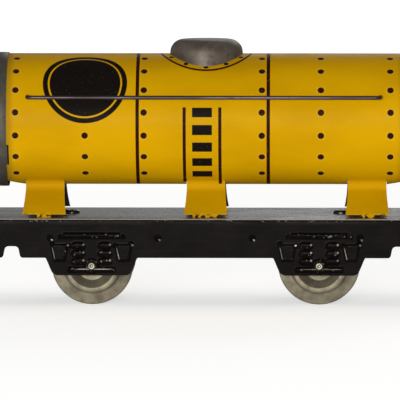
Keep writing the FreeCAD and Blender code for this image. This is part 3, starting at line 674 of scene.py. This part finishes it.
def sheet_metal(name, light, dark, roughness, grain=(1.0, 1.0, 1.0), stain=None, depth=0.02, shine=1.0):
    """Bare metal whose tarnish wanders between two colours, with a stain over part of it."""
    metal = Finish(name, metallic=shine, specular=0.5 * shine)
    tarnish = metal.noise(5.0, detail=6.0, roughness=0.62, stretch=grain)
    fine = metal.noise(0.8, detail=4.0, roughness=0.6, stretch=grain, offset=0.7)
    face = metal.mix(light, dark, metal.step(tarnish, 0.35, 0.68))
    face = metal.mix(face, dark, metal.step(fine, 0.55, 0.8, 0.0, 0.45))
    if stain:
        patches = metal.step(metal.noise(3.4, detail=5.0, roughness=0.7, offset=0.33), 0.54, 0.68)
        face = metal.mix(face, stain, metal.times(patches, 0.8))
        metal.put("Metallic", metal.step(patches, 0.0, 1.0, shine, 0.65 * shine))
    metal.put("Base Color", face)
    spread = metal.total(metal.times(tarnish, 0.16), metal.times(fine, 0.12))
    metal.put("Roughness", metal.total(spread, roughness - 0.14))
    metal.bump(metal.total(tarnish, metal.times(fine, 0.4)), depth)
    return metal.material


# ------------------------------------------------------------ the tank's barrel

LEG_RADII, TAB_RADIUS = (2.0, 0.5), 0.6  # of the legs' two bends and of their tabs' fold
SLOT_REACH = (12.0, 22.0)  # the lugs' slots are cut from and to here, along Y


def on_tank(x, turn, side=NEAR):
    """A point on the barrel's outside, at a turn from its top."""
    return (x, side * TANK_RADIUS * math.sin(turn), TANK_AXIS + TANK_RADIUS * math.cos(turn))


def leg_columns(place, tab, half):
    """Where a leg is divided across its width."""
    edges = [-half, -(half + tab) / 2, -tab, 0.0, tab, (half + tab) / 2, half]
    return [place + edge for edge in edges]


def seam_edge(x):
    """How far round the barrel its sheet goes at x, to the open seam along its bottom."""
    past_legs = LEGS[-1][0] + LEG_HALF
    flare = smooth_step((abs(x) - past_legs) / (RIM - past_legs))
    return math.pi - math.asin((SEAM_HALF + (SEAM_FLARE - SEAM_HALF) * flare) / TANK_RADIUS)


def add_leg(skin, place, tab, side):
    """A leg bent out of the barrel, with its tab through the deck and folded inwards under it."""
    root = (TANK_RADIUS * math.sin(LEG_ROOT), ROOT_Z)
    steps = 8
    line = rounded([root, LEG_BEND, LEG_KNEE, (LEG_FACE, FOOT_Z)], [0, *LEG_RADII, 0], steps)
    between = steps + 2  # the straight between the two bends is divided too
    above, below = Vector(line[between - 1]), Vector(line[between])
    line[between:between] = [tuple(above.lerp(below, share)) for share in spaced(0.0, 1.0, 1 / 6)[1:-1]]
    rows = []
    for out, z in line:
        share = max(LEG_BEND[1] - z, 0.0) / (LEG_BEND[1] - FOOT_Z)
        columns = leg_columns(place, tab, LEG_HALF + (LEG_FOOT - LEG_HALF) * share**2)
        rows.append([(x, side * out, TANK_AXIS + z) for x in columns])
    skin.grid(rows)
    fold = [(LEG_FACE, FOOT_Z), (LEG_FACE, TAB_FOLD), (TAB_TIP, TAB_FOLD)]
    columns = (place - tab, place, place + tab)
    folded = rounded(fold, [0, TAB_RADIUS, 0], steps=5)
    skin.grid([[(x, side * out, TANK_AXIS + z) for x in columns] for out, z in folded])


def barrel_skin():
    """The barrel's outside down to the legs' roots, the bays between the legs, and the legs."""
    starts = [-BARREL_END] + [place + LEG_HALF + LEG_CUT for place, _ in LEGS]
    stops = [place - LEG_HALF - LEG_CUT for place, _ in LEGS] + [BARREL_END]
    bays = [spaced(low, high, 2.4) for low, high in zip(starts, stops)]
    columns = [x for bay in bays for x in bay]
    columns += [x for place, tab in LEGS for x in leg_columns(place, tab, LEG_HALF)]
    columns.sort()
    turns = spaced(-LEG_ROOT, LEG_ROOT, math.radians(2.5))
    skin = Skin().grid([[on_tank(x, turn) for x in columns] for turn in turns])
    for side in (NEAR, FAR):
        for bay in bays:
            rows = []
            for share in spaced(0.0, 1.0, 1 / 8):
                rows.append([on_tank(x, LEG_ROOT + (seam_edge(x) - LEG_ROOT) * share, side) for x in bay])
            skin.grid(rows)
        for place, tab in LEGS:
            add_leg(skin, place, tab, side)
    return skin


def prism(along, out, up):
    """Points and faces of a closed box, from its two values on each axis."""
    corners = [(x, y, z) for x in along for y in out for z in up]
    return corners, [(0, 1, 3, 2), (4, 6, 7, 5), (0, 4, 5, 1), (2, 3, 7, 6), (0, 2, 6, 4), (1, 5, 7, 3)]


def make_barrel(material):
    """The barrel and its legs, with holes for the handrails and slots for the caps' lugs."""
    barrel = new_object("barrel", barrel_skin().mesh("barrel"), material, WAGON)
    thicken(barrel, TANK_SHEET)
    holes = Skin()
    for place in RAIL_ENDS:
        for side in (NEAR, FAR):
            axis = across(place, RAIL_HEIGHT, side)
            bore(holes, axis, RAIL_WIRE + RAIL_PLAY, TANK_RADIUS * 0.7, TANK_RADIUS + 3.0, around=24)
    up = (TANK_AXIS + LUG_FOOT - PLAY, TANK_AXIS + LUG_TOP + PLAY)
    for end in (LEFT, RIGHT):
        along = sorted((end * (RIM - LUG_SLOT), end * RIM))
        for side in (NEAR, FAR):
            out = sorted(side * reach for reach in SLOT_REACH)
            holes.patch(*prism(along, out, up))
    cut_through(barrel, holes)
    finish_mesh(barrel.data)
    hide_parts("tank_barrel")


# ------------------------------------------------------------ caps, dome and handrails

CAP_SHEET, CAP_CORNER, CAP_SKIRT = 0.32, 4.0, 5.2
DOME_SHEET, DOME_CORNER, DOME_TAPER, DOME_CROWN = 0.4, 3.9, 0.16, 0.12
RAIL_BEND = 1.5


def make_cap(node, end, material):
    """A cup with a domed end, and a lug each side bent in through the barrel's slots."""
    low, high = cad(node)
    radius, bulge = high.y, max(abs(low.x), abs(high.x)) - RIM
    fall = bulge - CAP_SKIRT
    sphere = (radius**2 + fall**2) / (2 * fall)
    centre = bulge - sphere
    corner_out = radius - CAP_CORNER
    corner_along = centre + math.sqrt((sphere - CAP_CORNER) ** 2 - corner_out**2)
    meet = math.atan2(corner_out, corner_along - centre)
    profile = [(0.0, radius - 0.06), (0.08, radius), (corner_along / 2, radius)]
    for turn in spaced(math.pi / 2, meet, math.radians(7)):
        along = corner_along + CAP_CORNER * math.cos(turn)
        profile.append((along, corner_out + CAP_CORNER * math.sin(turn)))
    for turn in spaced(meet, 0.0, math.radians(2.5))[1:]:
        profile.append((centre + sphere * math.cos(turn), max(sphere * math.sin(turn), HAIR)))
    skin = Skin().grid(lathe(profile, lengthwise(end * RIM, end, TANK_AXIS), around=120), closed=True)
    cap = new_object(node + "_shell", skin.mesh(node), material, WAGON)
    thicken(cap, CAP_SHEET)

    lugs = Skin()
    inner, outer = TANK_RADIUS - TANK_SHEET - 1.2, radius - 0.1
    heights = spaced(LUG_FOOT, LUG_TOP, 0.8)
    for side in (NEAR, FAR):
        faces = []
        for x in (end * RIM, end * (RIM - CAP_SHEET)):
            rows = []
            for reach in (inner, (inner + radius) / 2, outer):
                rows.append([(x, side * math.sqrt(reach**2 - z**2), TANK_AXIS + z) for z in heights])
            lugs.grid(rows)
            faces.append(rows[0] + rows[-1][::-1])
        lugs.grid(faces, closed=True)
    join_meshes(cap, lugs.mesh("lugs"))
    finish_mesh(cap.data, 40)
    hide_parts(node)


def make_dome(material):
    """A cup saddled on the barrel, a little narrower and flatter at its top."""
    high = cad("dome")[1]
    radius, top = high.x, high.z
    saddle = TANK_RADIUS + 0.02

    def foot(angle):
        return TANK_AXIS + math.sqrt(saddle**2 - (radius * math.sin(angle)) ** 2)

    def ring(out, height):
        return [(out * math.cos(angle), out * math.sin(angle), height(angle)) for angle in full_turn(144)]

    shoulder = top - DOME_CORNER
    rows = [ring(radius, foot)]
    for share in (0.12, 0.3, 0.55, 0.8):
        narrow = radius - DOME_TAPER * smooth_step(share * 2.2)
        rows.append(ring(narrow, lambda angle, s=share: foot(angle) + (shoulder - foot(angle)) * s))
    flat = radius - DOME_TAPER - DOME_CORNER
    for turn in spaced(0.0, math.pi / 2, math.radians(6)):
        height = shoulder + (DOME_CORNER - DOME_CROWN) * math.sin(turn)
        rows.append(ring(flat + DOME_CORNER * math.cos(turn), lambda angle, h=height: h))
    for share in spaced(1.0, 0.0, 0.1)[1:]:
        rows.append(ring(max(flat * share, HAIR), lambda angle, s=share: top - DOME_CROWN * s * s))
    skin = Skin().grid(rows, closed=True)
    dome = new_object("dome_cup", skin.mesh("dome"), material, WAGON)
    thicken(dome, DOME_SHEET, sharp=50)
    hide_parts("dome")


def make_handrail(node, side, material):
    """A wire along the barrel, with both ends bent into it."""
    low, high = cad(node)
    outer = max(abs(low.y), abs(high.y)) - RAIL_WIRE
    inner = min(abs(low.y), abs(high.y))
    start, finish = RAIL_ENDS
    corners = [(start, inner), (start, outer), (finish, outer), (finish, inner)]
    path = rounded(corners, [0, RAIL_BEND, RAIL_BEND, 0], 8)
    split = len(path) // 2
    straight = [(x, outer) for x in spaced(start + RAIL_BEND, finish - RAIL_BEND, 2.0)[1:-1]]
    path = path[:split] + straight + path[split:]
    rows = []
    for index, here in enumerate(path):
        back, on = path[max(index - 1, 0)], path[min(index + 1, len(path) - 1)]
        along = Vector((on[0] - back[0], on[1] - back[1])).normalized()
        row = []
        for turn in full_turn(20):
            out, up = RAIL_WIRE * math.cos(turn), RAIL_WIRE * math.sin(turn)
            row.append((here[0] + out * along.y, side * (here[1] - out * along.x), RAIL_HEIGHT + up))
        rows.append(row)
    mesh = Skin().grid(rows, closed=True).fan(rows[0]).fan(rows[-1]).mesh(node)
    stand_in(node, "_wire", mesh, material, WAGON, 50)


# ------------------------------------------------------------ the frame

TRUCK_TOP, TRUCK_BOTTOM, TRUCK_CORNER = 13.1, 11.0, 2.2
NOTCH, NOTCH_HALF, NOTCH_MOUTH, NOTCH_TOP = 55.4, 1.85, 2.5, -7.8
WINDOW_HALF, WINDOW_FOOT = 13.6, -1.8
FOLD_TURNS = (0.0, 14.35, 28.7, 43.05, 57.4, 68.3, 79.1, 90.0)  # degrees
WINDOW_TOP_ROW = 4  # the fold's row where the windows begin
SIDE_ROWS = 50
AXLE_DROP = DECK - AXLE_HEIGHT
AXLE_HOLE, RIVET_HOLE = 1.235, 1.51

# a truck's relief, placed from its axle
TRUCK_BARS = ((8.7, 8.0, 0.6), (-1.0, 6.6, 0.55))  # each bar's height, half length and half width
STUDS = ((6.6, 5.9, 0.55), (11.2, 6.4, 0.6), (9.0, 8.4, 0.5))  # each stud's place, height and radius
BOSS = 2.0  # radius of the axle's boss
COIL_HALF = (1.9, 0.95)  # half length and half width


def lower_edge():
    """One side's lower edge as (x, z) from end to end, z from the deck's top."""
    corners, radii = [(-FRAME_LENGTH + FOLD, -SKIRT)], [0]
    stops = [(-NOTCH, "notch"), (-AXLE_PLACE, "truck"), (AXLE_PLACE, "truck"), (NOTCH, "notch")]
    for place, kind in stops:
        if kind == "notch":
            wide, narrow, depth, foot, corner = NOTCH_MOUTH, NOTCH_HALF, NOTCH_TOP, 0.9, 1.2
        else:
            wide, narrow, depth, foot, corner = TRUCK_TOP, TRUCK_BOTTOM, -TRUCK, 0.5, TRUCK_CORNER
        corners += [(place - wide, -SKIRT), (place - narrow, depth)]
        corners += [(place + narrow, depth), (place + wide, -SKIRT)]
        radii += [foot, corner, corner, foot]
    return rounded(corners + [(FRAME_LENGTH - FOLD, -SKIRT)], radii + [0], steps=8)


def soft_box(x, z, half_x, half_z, soft=0.32):
    """A raised box round the origin, with soft edges."""
    away_x = np.clip((half_x - np.abs(x)) / soft + 0.5, 0, 1)
    away_z = np.clip((half_z - np.abs(z)) / soft + 0.5, 0, 1)
    return smooth_step(away_x) * smooth_step(away_z)


def bead(x, z, half_x, half_z):
    """A raised round bar lying along x, or a stud where its two halves are the same."""
    along = np.maximum(np.abs(x) - (half_x - half_z), 0.0)
    away = np.sqrt(along**2 + z**2) / half_z
    return np.sqrt(np.clip(1.0 - away**2, 0.0, 1.0))


def relief(x, z):
    """How far a truck's side stands out, from 0 to 1, at x from its axle and z from its axle's height."""
    boss = smooth_step(np.clip((BOSS - np.hypot(x, z)) / 0.35 + 0.5, 0, 1))
    shapes = [soft_box(x, z - height, half_x, half_z) for height, half_x, half_z in TRUCK_BARS] + [boss]
    for hand in (-1, 1):
        for coil in range(COILS):
            above = z - (COIL_LOW + COIL_PITCH * coil)
            shapes.append(bead(x - hand * COIL_OUT, above, *COIL_HALF) * 0.95)
        lean = 1.6 + 0.8 * np.clip((z - 1.8) / 4.0, 0, 1)
        from_column = np.abs(x - hand * COLUMN_OUT)
        rib = np.clip(1.0 - np.abs(from_column - lean + 0.35) / 0.5, 0, 1)
        tall = np.clip((2.3 - np.abs(z - 3.8)) / 0.4 + 0.5, 0, 1)
        shapes.append(smooth_step(rib) * smooth_step(tall))
        body = np.clip((lean - from_column) / 0.3 + 0.5, 0, 1) * tall
        shapes.append(smooth_step(body) * 0.55)
        for place, height, radius in STUDS:
            shapes.append(bead(x - hand * place, z - height, radius, radius))
    return np.maximum.reduce(shapes)


def side_columns(edge):
    """Where the frame's long sides are divided, closely over the trucks and dimples."""
    fine = []
    for end in (LEFT, RIGHT):
        fine += spaced(end * AXLE_PLACE - TRUCK_TOP, end * AXLE_PLACE + TRUCK_TOP, 0.28)
        fine += spaced(end * DIMPLES[0] - 1.2, end * DIMPLES[0] + 1.2, 0.2)
    wanted = [point[0] for point in edge] + fine
    wanted += spaced(-FRAME_LENGTH + FOLD, FRAME_LENGTH - FOLD, 2.6)
    wanted.sort()
    columns = [wanted[0]]
    for x in wanted[1:]:
        if x - columns[-1] > 0.09:
            columns.append(x)
    columns[-1] = FRAME_LENGTH - FOLD
    return columns


def frame_loop(edge):
    """Once round the frame: points inside its fold, which way each faces, and its side or -1 at a corner."""
    half_x, half_y = FRAME_LENGTH - FOLD, FRAME_SIDE - FOLD
    along = side_columns(edge)
    over = sorted(set(spaced(-half_y, half_y, 2.6) + [-WINDOW_HALF, WINDOW_HALF]))
    lines = ((along, -half_y), (over, half_x), (along[::-1], half_y), (over[::-1], -half_x))
    loop = []
    for side, (line, fixed) in enumerate(lines):
        facing = (side - 1) * math.pi / 2
        loop += [((value, fixed) if side % 2 == 0 else (fixed, value), facing, side) for value in line]
        corner = loop[-1][0]
        loop += [(corner, facing + turn, -1) for turn in spaced(0.0, math.pi / 2, math.radians(15))[1:-1]]
    return loop


def frame_skin():
    """The deck's fold and the sides hanging from it, with a window in each end, and the deck's flat."""
    edge = lower_edge()
    edge_x, edge_z = zip(*edge)
    loop = frame_loop(edge)

    def row(out, height):
        points = []
        for base, facing, side in loop:
            x, y = base[0] + out * math.cos(facing), base[1] + out * math.sin(facing)
            points.append((x, y, DECK + height(base, side)))
        return points

    def drop(share):
        """A row's height, at a share of the way from the windows' foot to the lower edge."""

        def height(base, side):
            foot = float(np.interp(base[0], edge_x, edge_z)) if side in (0, 2) else -SKIRT
            return WINDOW_FOOT + (foot - WINDOW_FOOT) * share

        return height

    rows = []
    for turn in map(math.radians, FOLD_TURNS):
        fall = FOLD * (math.cos(turn) - 1)
        rows.append(row(FOLD * math.sin(turn), lambda base, side, fall=fall: fall))
    rows += [row(FOLD, drop(step / SIDE_ROWS)) for step in range(SIDE_ROWS + 1)]

    def in_window(index, column):
        if not WINDOW_TOP_ROW <= index < len(FOLD_TURNS):
            return False
        (base, _, side), (following, _, _) = loop[column], loop[(column + 1) % len(loop)]
        return side in (1, 3) and abs(base[1] + following[1]) / 2 < WINDOW_HALF

    skin = Skin().grid(rows, skip=in_window, closed=True)
    add_deck(skin, [point[:2] for point in rows[0]])
    return skin


def add_deck(skin, border):
    """The flat of the deck inside its fold, with the tabs' slots and the rivets' holes."""
    flat = [border[0]]
    for point in border[1:]:
        if math.dist(point, flat[-1]) > 0.01:
            flat.append(point)
    loops = [flat]
    for place, tab in LEGS:
        for side in (NEAR, FAR):
            middle = side * (LEG_FACE - TANK_SHEET / 2)
            wide, deep = tab + PLAY, TANK_SHEET / 2 + PLAY
            slot = rectangle(place - wide, place + wide, middle - deep, middle + deep)
            loops.append(rounded(slot, [PLAY] * 4, steps=3, closed=True))
    for end in (LEFT, RIGHT):
        loops.append(circle(end * abs(PIVOT), RIVET_HOLE))
    found, faces = flat_sheet(loops)
    skin.patch([(point.x, point.y, DECK) for point in found], faces)


def stamp(mesh):
    """Pushes the trucks' relief out of the frame's sides and the dimples in."""
    count = len(mesh.vertices)
    points = np.empty(count * 3)
    mesh.vertices.foreach_get("co", points)
    points = points.reshape(-1, 3) / MM
    on_side = np.abs(np.abs(points[:, 1]) - FRAME_SIDE) < 0.01
    z = points[:, 2] - DECK
    push = np.zeros(count)
    for end in (LEFT, RIGHT):
        from_axle = points[:, 0] - end * AXLE_PLACE
        near_truck = on_side & (np.abs(from_axle) < TRUCK_TOP - 0.4)
        raised = relief(from_axle, z + AXLE_DROP) * RELIEF
        push = np.where(near_truck, raised, push)
        for dimple in DIMPLES:
            away = np.hypot(points[:, 0] - end * dimple, z - DIMPLE_DROP) / DIMPLE_RADIUS
            push = np.where(on_side & (away < 1.2), -DIMPLE_DEPTH * smooth_step(1.25 - away), push)
    points[:, 1] += np.sign(points[:, 1]) * push
    mesh.vertices.foreach_set("co", (points * MM).ravel())
    mesh.update()


def make_frame(material):
    """The folded frame with its stamped trucks, and bored for the axles."""
    frame_piece = new_object("frame_sheet", frame_skin().mesh("frame"), material, WAGON)
    thicken(frame_piece, SHEET)
    bores = Skin()
    for end in (LEFT, RIGHT):
        for side in (NEAR, FAR):
            bore(bores, at_axle(end, side), AXLE_HOLE, FRAME_SIDE - 3.0, FRAME_SIDE + 3.0, around=32)
    stamp(frame_piece.data)
    cut_through(frame_piece, bores)
    finish_mesh(frame_piece.data, 62)
    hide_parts("frame")


# ------------------------------------------------------------ wheelsets, couplers and rivets

WHEEL_SHEET, WHEEL_BORE, AXLE_RADIUS = 0.45, 1.185, 1.175
HUB, HUB_PROUD, BACK_HUB = 2.3, 0.9, 1.8
COUPLER_SHEET, PIVOT_HOLE = 0.8, 1.55
NECK_END, HEAD_START, SHANK_HALF, HEAD_HALF = 39.5, 41.0, 4.0, 5.5
SLOT_INNER, SLOT_OUTER, SLOT_HALF = 7.2, 2.2, 3.2  # the slot's ends count from the head's tip
HOOK_INSET, HOOK_HALF = 1.8, 2.5


def closed_lathe(name, corners, radii, place, around=96):
    """A turned part from a closed outline with rounded corners."""
    line = rounded(corners, radii, steps=4, closed=True)
    rows = lathe(line + line[:1], place, around)
    return Skin().grid(rows, closed=True).mesh(name)


def turned_on_axle(name, ending, corners, radii, hand, end, side, material):
    """A wheel's stamping; its outline counts from the face nearest the wagon's middle."""
    low, high = cad(name)
    back = min(abs(low.y), abs(high.y))
    mesh = closed_lathe(name, [(along + back, out) for along, out in corners], radii, at_axle(end, side))
    stand_in(name, ending, mesh, material, f"{hand}_wheelset", 40)


def make_wheel(hand, end, side, material):
    """A wheel's dished front, with its flange, tread and hub."""
    name = f"wheel_{hand}_{'near' if side == NEAR else 'far'}"
    low, high = cad(name)
    width = abs(high.y - low.y) - HUB_PROUD
    flange = high.z - AXLE_HEIGHT
    sheet, floor, tread_root, tread, web, dish = WHEEL_SHEET, width - 1.5, 8.32, 8.0, 6.6, 4.4
    corners = [
        (0.0, flange - sheet),
        (0.0, flange),
        (2 * sheet, flange),
        (2 * sheet + 0.25, tread_root),
        (width, tread),
        (width, web),
        (floor, dish),
        (floor, HUB),
        (width + HUB_PROUD, HUB - 0.1),
        (width + HUB_PROUD, WHEEL_BORE),
        (floor - sheet, WHEEL_BORE),
        (floor - sheet, dish),
        (width - sheet, web),
        (width - sheet, tread - 0.4),
        (sheet + 0.02, tread - 0.15),
        (sheet + 0.02, flange - sheet),
    ]
    radii = [0.05, 0.42, 0.42, 0.5, 0.5, 0.45, 0.6, 0.5, 0.35, 0.1, 0.05, 0.3, 0.1, 0.1, 0.1, 0.05]
    turned_on_axle(name, "_stamping", corners, radii, hand, end, side, material)


def make_wheel_back(hand, end, side, material):
    """The disc that closes a wheel's back, with its hub."""
    name = f"wheel_back_{hand}_{'near' if side == NEAR else 'far'}"
    edge = cad(name)[1].z - AXLE_HEIGHT
    corners = [(0.0, WHEEL_BORE), (0.0, edge), (WHEEL_SHEET, edge), (WHEEL_SHEET, HUB)]
    corners += [(BACK_HUB, HUB), (BACK_HUB, WHEEL_BORE)]
    radii = [0.1, 0.08, 0.08, 0.3, 0.2, 0.1]
    turned_on_axle(name, "_disc", corners, radii, hand, end, side, material)


def make_axle(hand, end, material):
    """A rod with rounded, dimpled ends."""
    name = f"axle_{hand}"
    tip, radius = cad(name)[1].y, AXLE_RADIUS
    half = [(0.0, radius), (tip - 0.5, radius), (tip - 0.2, radius - 0.1), (tip - 0.03, radius - 0.32)]
    half += [(tip, radius - 0.45), (tip - 0.05, 0.5), (tip - 0.16, 0.35), (tip - 0.18, HAIR)]
    profile = [(-along, out) for along, out in reversed(half[1:])] + half[1:]
    rows = lathe(profile, at_axle(end, FAR), around=40)
    mesh = Skin().grid(rows, closed=True).mesh(name)
    stand_in(name, "_rod", mesh, material, f"{hand}_wheelset", 45)


def make_rivet(hand, end, material):
    """A hollow rivet, its head on the deck and its foot spread under the coupler."""
    name = f"coupler_rivet_{hand}"
    low, high = cad(name)
    head, shank, bore, foot = high.y, 1.5, 0.85, low.z + 0.6
    corners = [(high.z, bore), (high.z, head), (DECK, head), (DECK, shank)]
    corners += [(foot, shank), (foot, head), (low.z, head), (low.z, bore)]
    radii = [0.35, 0.7, 0.12, 0.0, 0.0, 0.2, 0.28, 0.25]
    mesh = closed_lathe(name, corners, radii, upright(end * abs(PIVOT), 0.0, 0.0), around=64)
    stand_in(name, "_eyelet", mesh, material, WAGON, 45)


def coupler_plate(node, end, tip, top, slotted):
    """The upper face of a coupler's plate, with its rivet's hole and, in one of the two, its slot."""
    outline = [(-SHANK_HALF, -SHANK_HALF), (NECK_END, -SHANK_HALF), (HEAD_START, -HEAD_HALF)]
    outline += [(tip, -HEAD_HALF)]
    outline += [(x, -y) for x, y in reversed(outline)]
    radii = [3.4, 1.2, 1.2, 2.2, 2.2, 1.2, 1.2, 3.4]
    loops = [rounded(outline, radii, steps=8, closed=True), circle(0.0, PIVOT_HOLE)]
    if slotted:
        slot = rectangle(tip - SLOT_INNER, tip - SLOT_OUTER, -SLOT_HALF, SLOT_HALF)
        loops.append(rounded(slot, [0.5] * 4, steps=4, closed=True))
    found, faces = flat_sheet(loops)
    points = [(end * (abs(PIVOT) + point.x), end * point.y, top) for point in found]
    mesh = Skin().patch(points, faces).mesh(node)
    if mesh.polygons[0].normal.z < 0:
        mesh.flip_normals()
    return mesh


def hook(end, tip, top, foot):
    """The other coupler's tab, bent down from its plate."""
    corners = [(-HOOK_HALF, top - 0.3), (-HOOK_HALF, foot), (HOOK_HALF, foot), (HOOK_HALF, top - 0.3)]
    line = rounded(corners, [0, 1.1, 1.1, 0], steps=6)
    back = tip - HOOK_INSET - COUPLER_SHEET
    places = [end * (abs(PIVOT) + reach) for reach in (back, back + COUPLER_SHEET)]
    rows = [[(x, y, z) for y, z in line] for x in places]
    return Skin().fan(rows[0]).fan(rows[1]).grid(rows, closed=True).mesh("hook")


def make_coupler(node, body, end, material):
    """A coupler's plate, with a slot in its head or a hook under it."""
    low, high = cad(node)
    tip = max(abs(low.x), abs(high.x)) - abs(PIVOT)
    slotted = node == "coupler_slot"
    mesh = coupler_plate(node, end, tip, high.z, slotted)
    plate = new_object(node + "_plate", mesh, material, body)
    thicken(plate, COUPLER_SHEET, rounding=0.12)
    if not slotted:
        join_meshes(plate, hook(end, tip, high.z, low.z))
    finish_mesh(plate.data, 40)
    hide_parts(node)


# ------------------------------------------------------------ the object

YELLOW = litho_yellow()
BLACK = frame_black()
CAP_STEEL = sheet_metal("cap_steel", (78, 75, 68), (66, 62, 54), 0.52, stain=(64, 55, 44), shine=0.35)
DOME_STEEL = sheet_metal("dome_steel", (94, 86, 76), (74, 64, 55), 0.5, stain=(64, 51, 43), shine=0.5)
RAIL_METAL = sheet_metal("rail_wire", (86, 76, 80), (54, 45, 48), 0.42, (6.0, 1.0, 1.0), (48, 38, 36))
RIVET_METAL = sheet_metal("rivet_steel", (84, 80, 72), (50, 46, 42), 0.35, stain=(32, 28, 24))
COUPLER_METAL = sheet_metal("coupler_steel", (80, 76, 68), (50, 46, 42), 0.38, stain=(38, 32, 28))
WHEEL_TIN = sheet_metal("wheel_tin", (116, 109, 90), (88, 81, 66), 0.5, stain=(74, 67, 54), shine=0.6)
AXLE_STEEL = sheet_metal("axle_steel", (132, 128, 112), (92, 87, 74), 0.4, stain=(70, 62, 50))

make_barrel(YELLOW)
make_dome(DOME_STEEL)
make_frame(BLACK)
for end, hand in ((LEFT, "left"), (RIGHT, "right")):
    make_cap(f"end_cap_{hand}", end, CAP_STEEL)
    make_rivet(hand, end, RIVET_METAL)
    make_axle(hand, end, AXLE_STEEL)
    for side in (NEAR, FAR):
        make_wheel(hand, end, side, WHEEL_TIN)
        make_wheel_back(hand, end, side, WHEEL_TIN)
make_handrail("handrail_near", NEAR, RAIL_METAL)
make_handrail("handrail_far", FAR, RAIL_METAL)
make_coupler("coupler_slot", "slot_coupler", LEFT, COUPLER_METAL)
make_coupler("coupler_tab", "tab_coupler", RIGHT, COUPLER_METAL)

# ------------------------------------------------------------ studio

FLOOR_HALF, FLOOR_GLOW = 6.0 / MM, 0.6
ROOM = (0.3, 0.3, 0.3)
CAMERA_PLACE, CAMERA_AIM, LENS = (0.027, -1.6, 0.151), (-0.0019, 0.0, 0.029), 498.6
LAMP_AIM = (0.0, 0.0, 0.04)


def turned_to(place, aim):
    """The rotation that points a lamp or a camera from a place to its aim, both in metres."""
    return (Vector(aim) - Vector(place)).to_track_quat("-Z", "Y").to_euler()


def make_floor():
    """A wide white floor that glows a little."""
    corners = rectangle(-FLOOR_HALF, FLOOR_HALF, -FLOOR_HALF, FLOOR_HALF)
    mesh = Skin().fan([(x, y, 0.0) for x, y in corners]).mesh("floor")
    floor = linked("floor", mesh)
    plain = Finish("floor", specular=0.1)
    tone = plain.noise(400.0, detail=2.0)
    plain.put("Base Color", plain.mix((243, 243, 241), (240, 240, 239), tone))
    plain.put("Roughness", 0.9)
    plain.put("Emission Color", (1.0, 1.0, 1.0, 1.0))
    plain.put("Emission Strength", FLOOR_GLOW)
    mesh.materials.append(plain.material)


def make_world():
    """A white background, and an even dim room for everything but the camera's own view."""
    world = bpy.data.worlds.new("studio")
    bpy.context.scene.world = world
    world.use_nodes = True
    tree = world.node_tree
    tree.nodes.clear()
    new = tree.nodes.new
    room, seen, both = new("ShaderNodeBackground"), new("ShaderNodeBackground"), new("ShaderNodeMixShader")
    room.inputs["Color"].default_value = (*ROOM, 1.0)
    seen.inputs["Color"].default_value = (1.0, 1.0, 1.0, 1.0)
    tree.links.new(new("ShaderNodeLightPath").outputs["Is Camera Ray"], both.inputs[0])
    tree.links.new(room.outputs[0], both.inputs[1])
    tree.links.new(seen.outputs[0], both.inputs[2])
    tree.links.new(both.outputs[0], new("ShaderNodeOutputWorld").inputs[0])


def make_softbox(name, place, width, height, watts):
    """A soft lamp at a place, turned towards the object."""
    data = bpy.data.lights.new(name, "AREA")
    data.shape = "RECTANGLE"
    data.size, data.size_y, data.energy = width, height, watts
    lamp = linked(name, data)
    lamp.location = place
    lamp.rotation_euler = turned_to(place, LAMP_AIM)


def make_camera():
    """The photo's view: from far off with a long lens."""
    data = bpy.data.cameras.new("camera")
    data.sensor_width, data.lens = 36.0, LENS
    camera = linked("camera", data)
    camera.location = CAMERA_PLACE
    camera.rotation_euler = turned_to(CAMERA_PLACE, CAMERA_AIM)
    data.clip_start, data.clip_end = 0.05, 50.0
    bpy.context.scene.camera = camera


make_floor()
make_world()
make_softbox("front", (-0.3, -2.5, 0.24), 1.1, 0.4, 50.0)
make_softbox("back", (0.6, 2.4, 1.2), 1.4, 1.0, 11.0)
make_camera()
bpy.context.scene.view_settings.view_transform = "Standard"
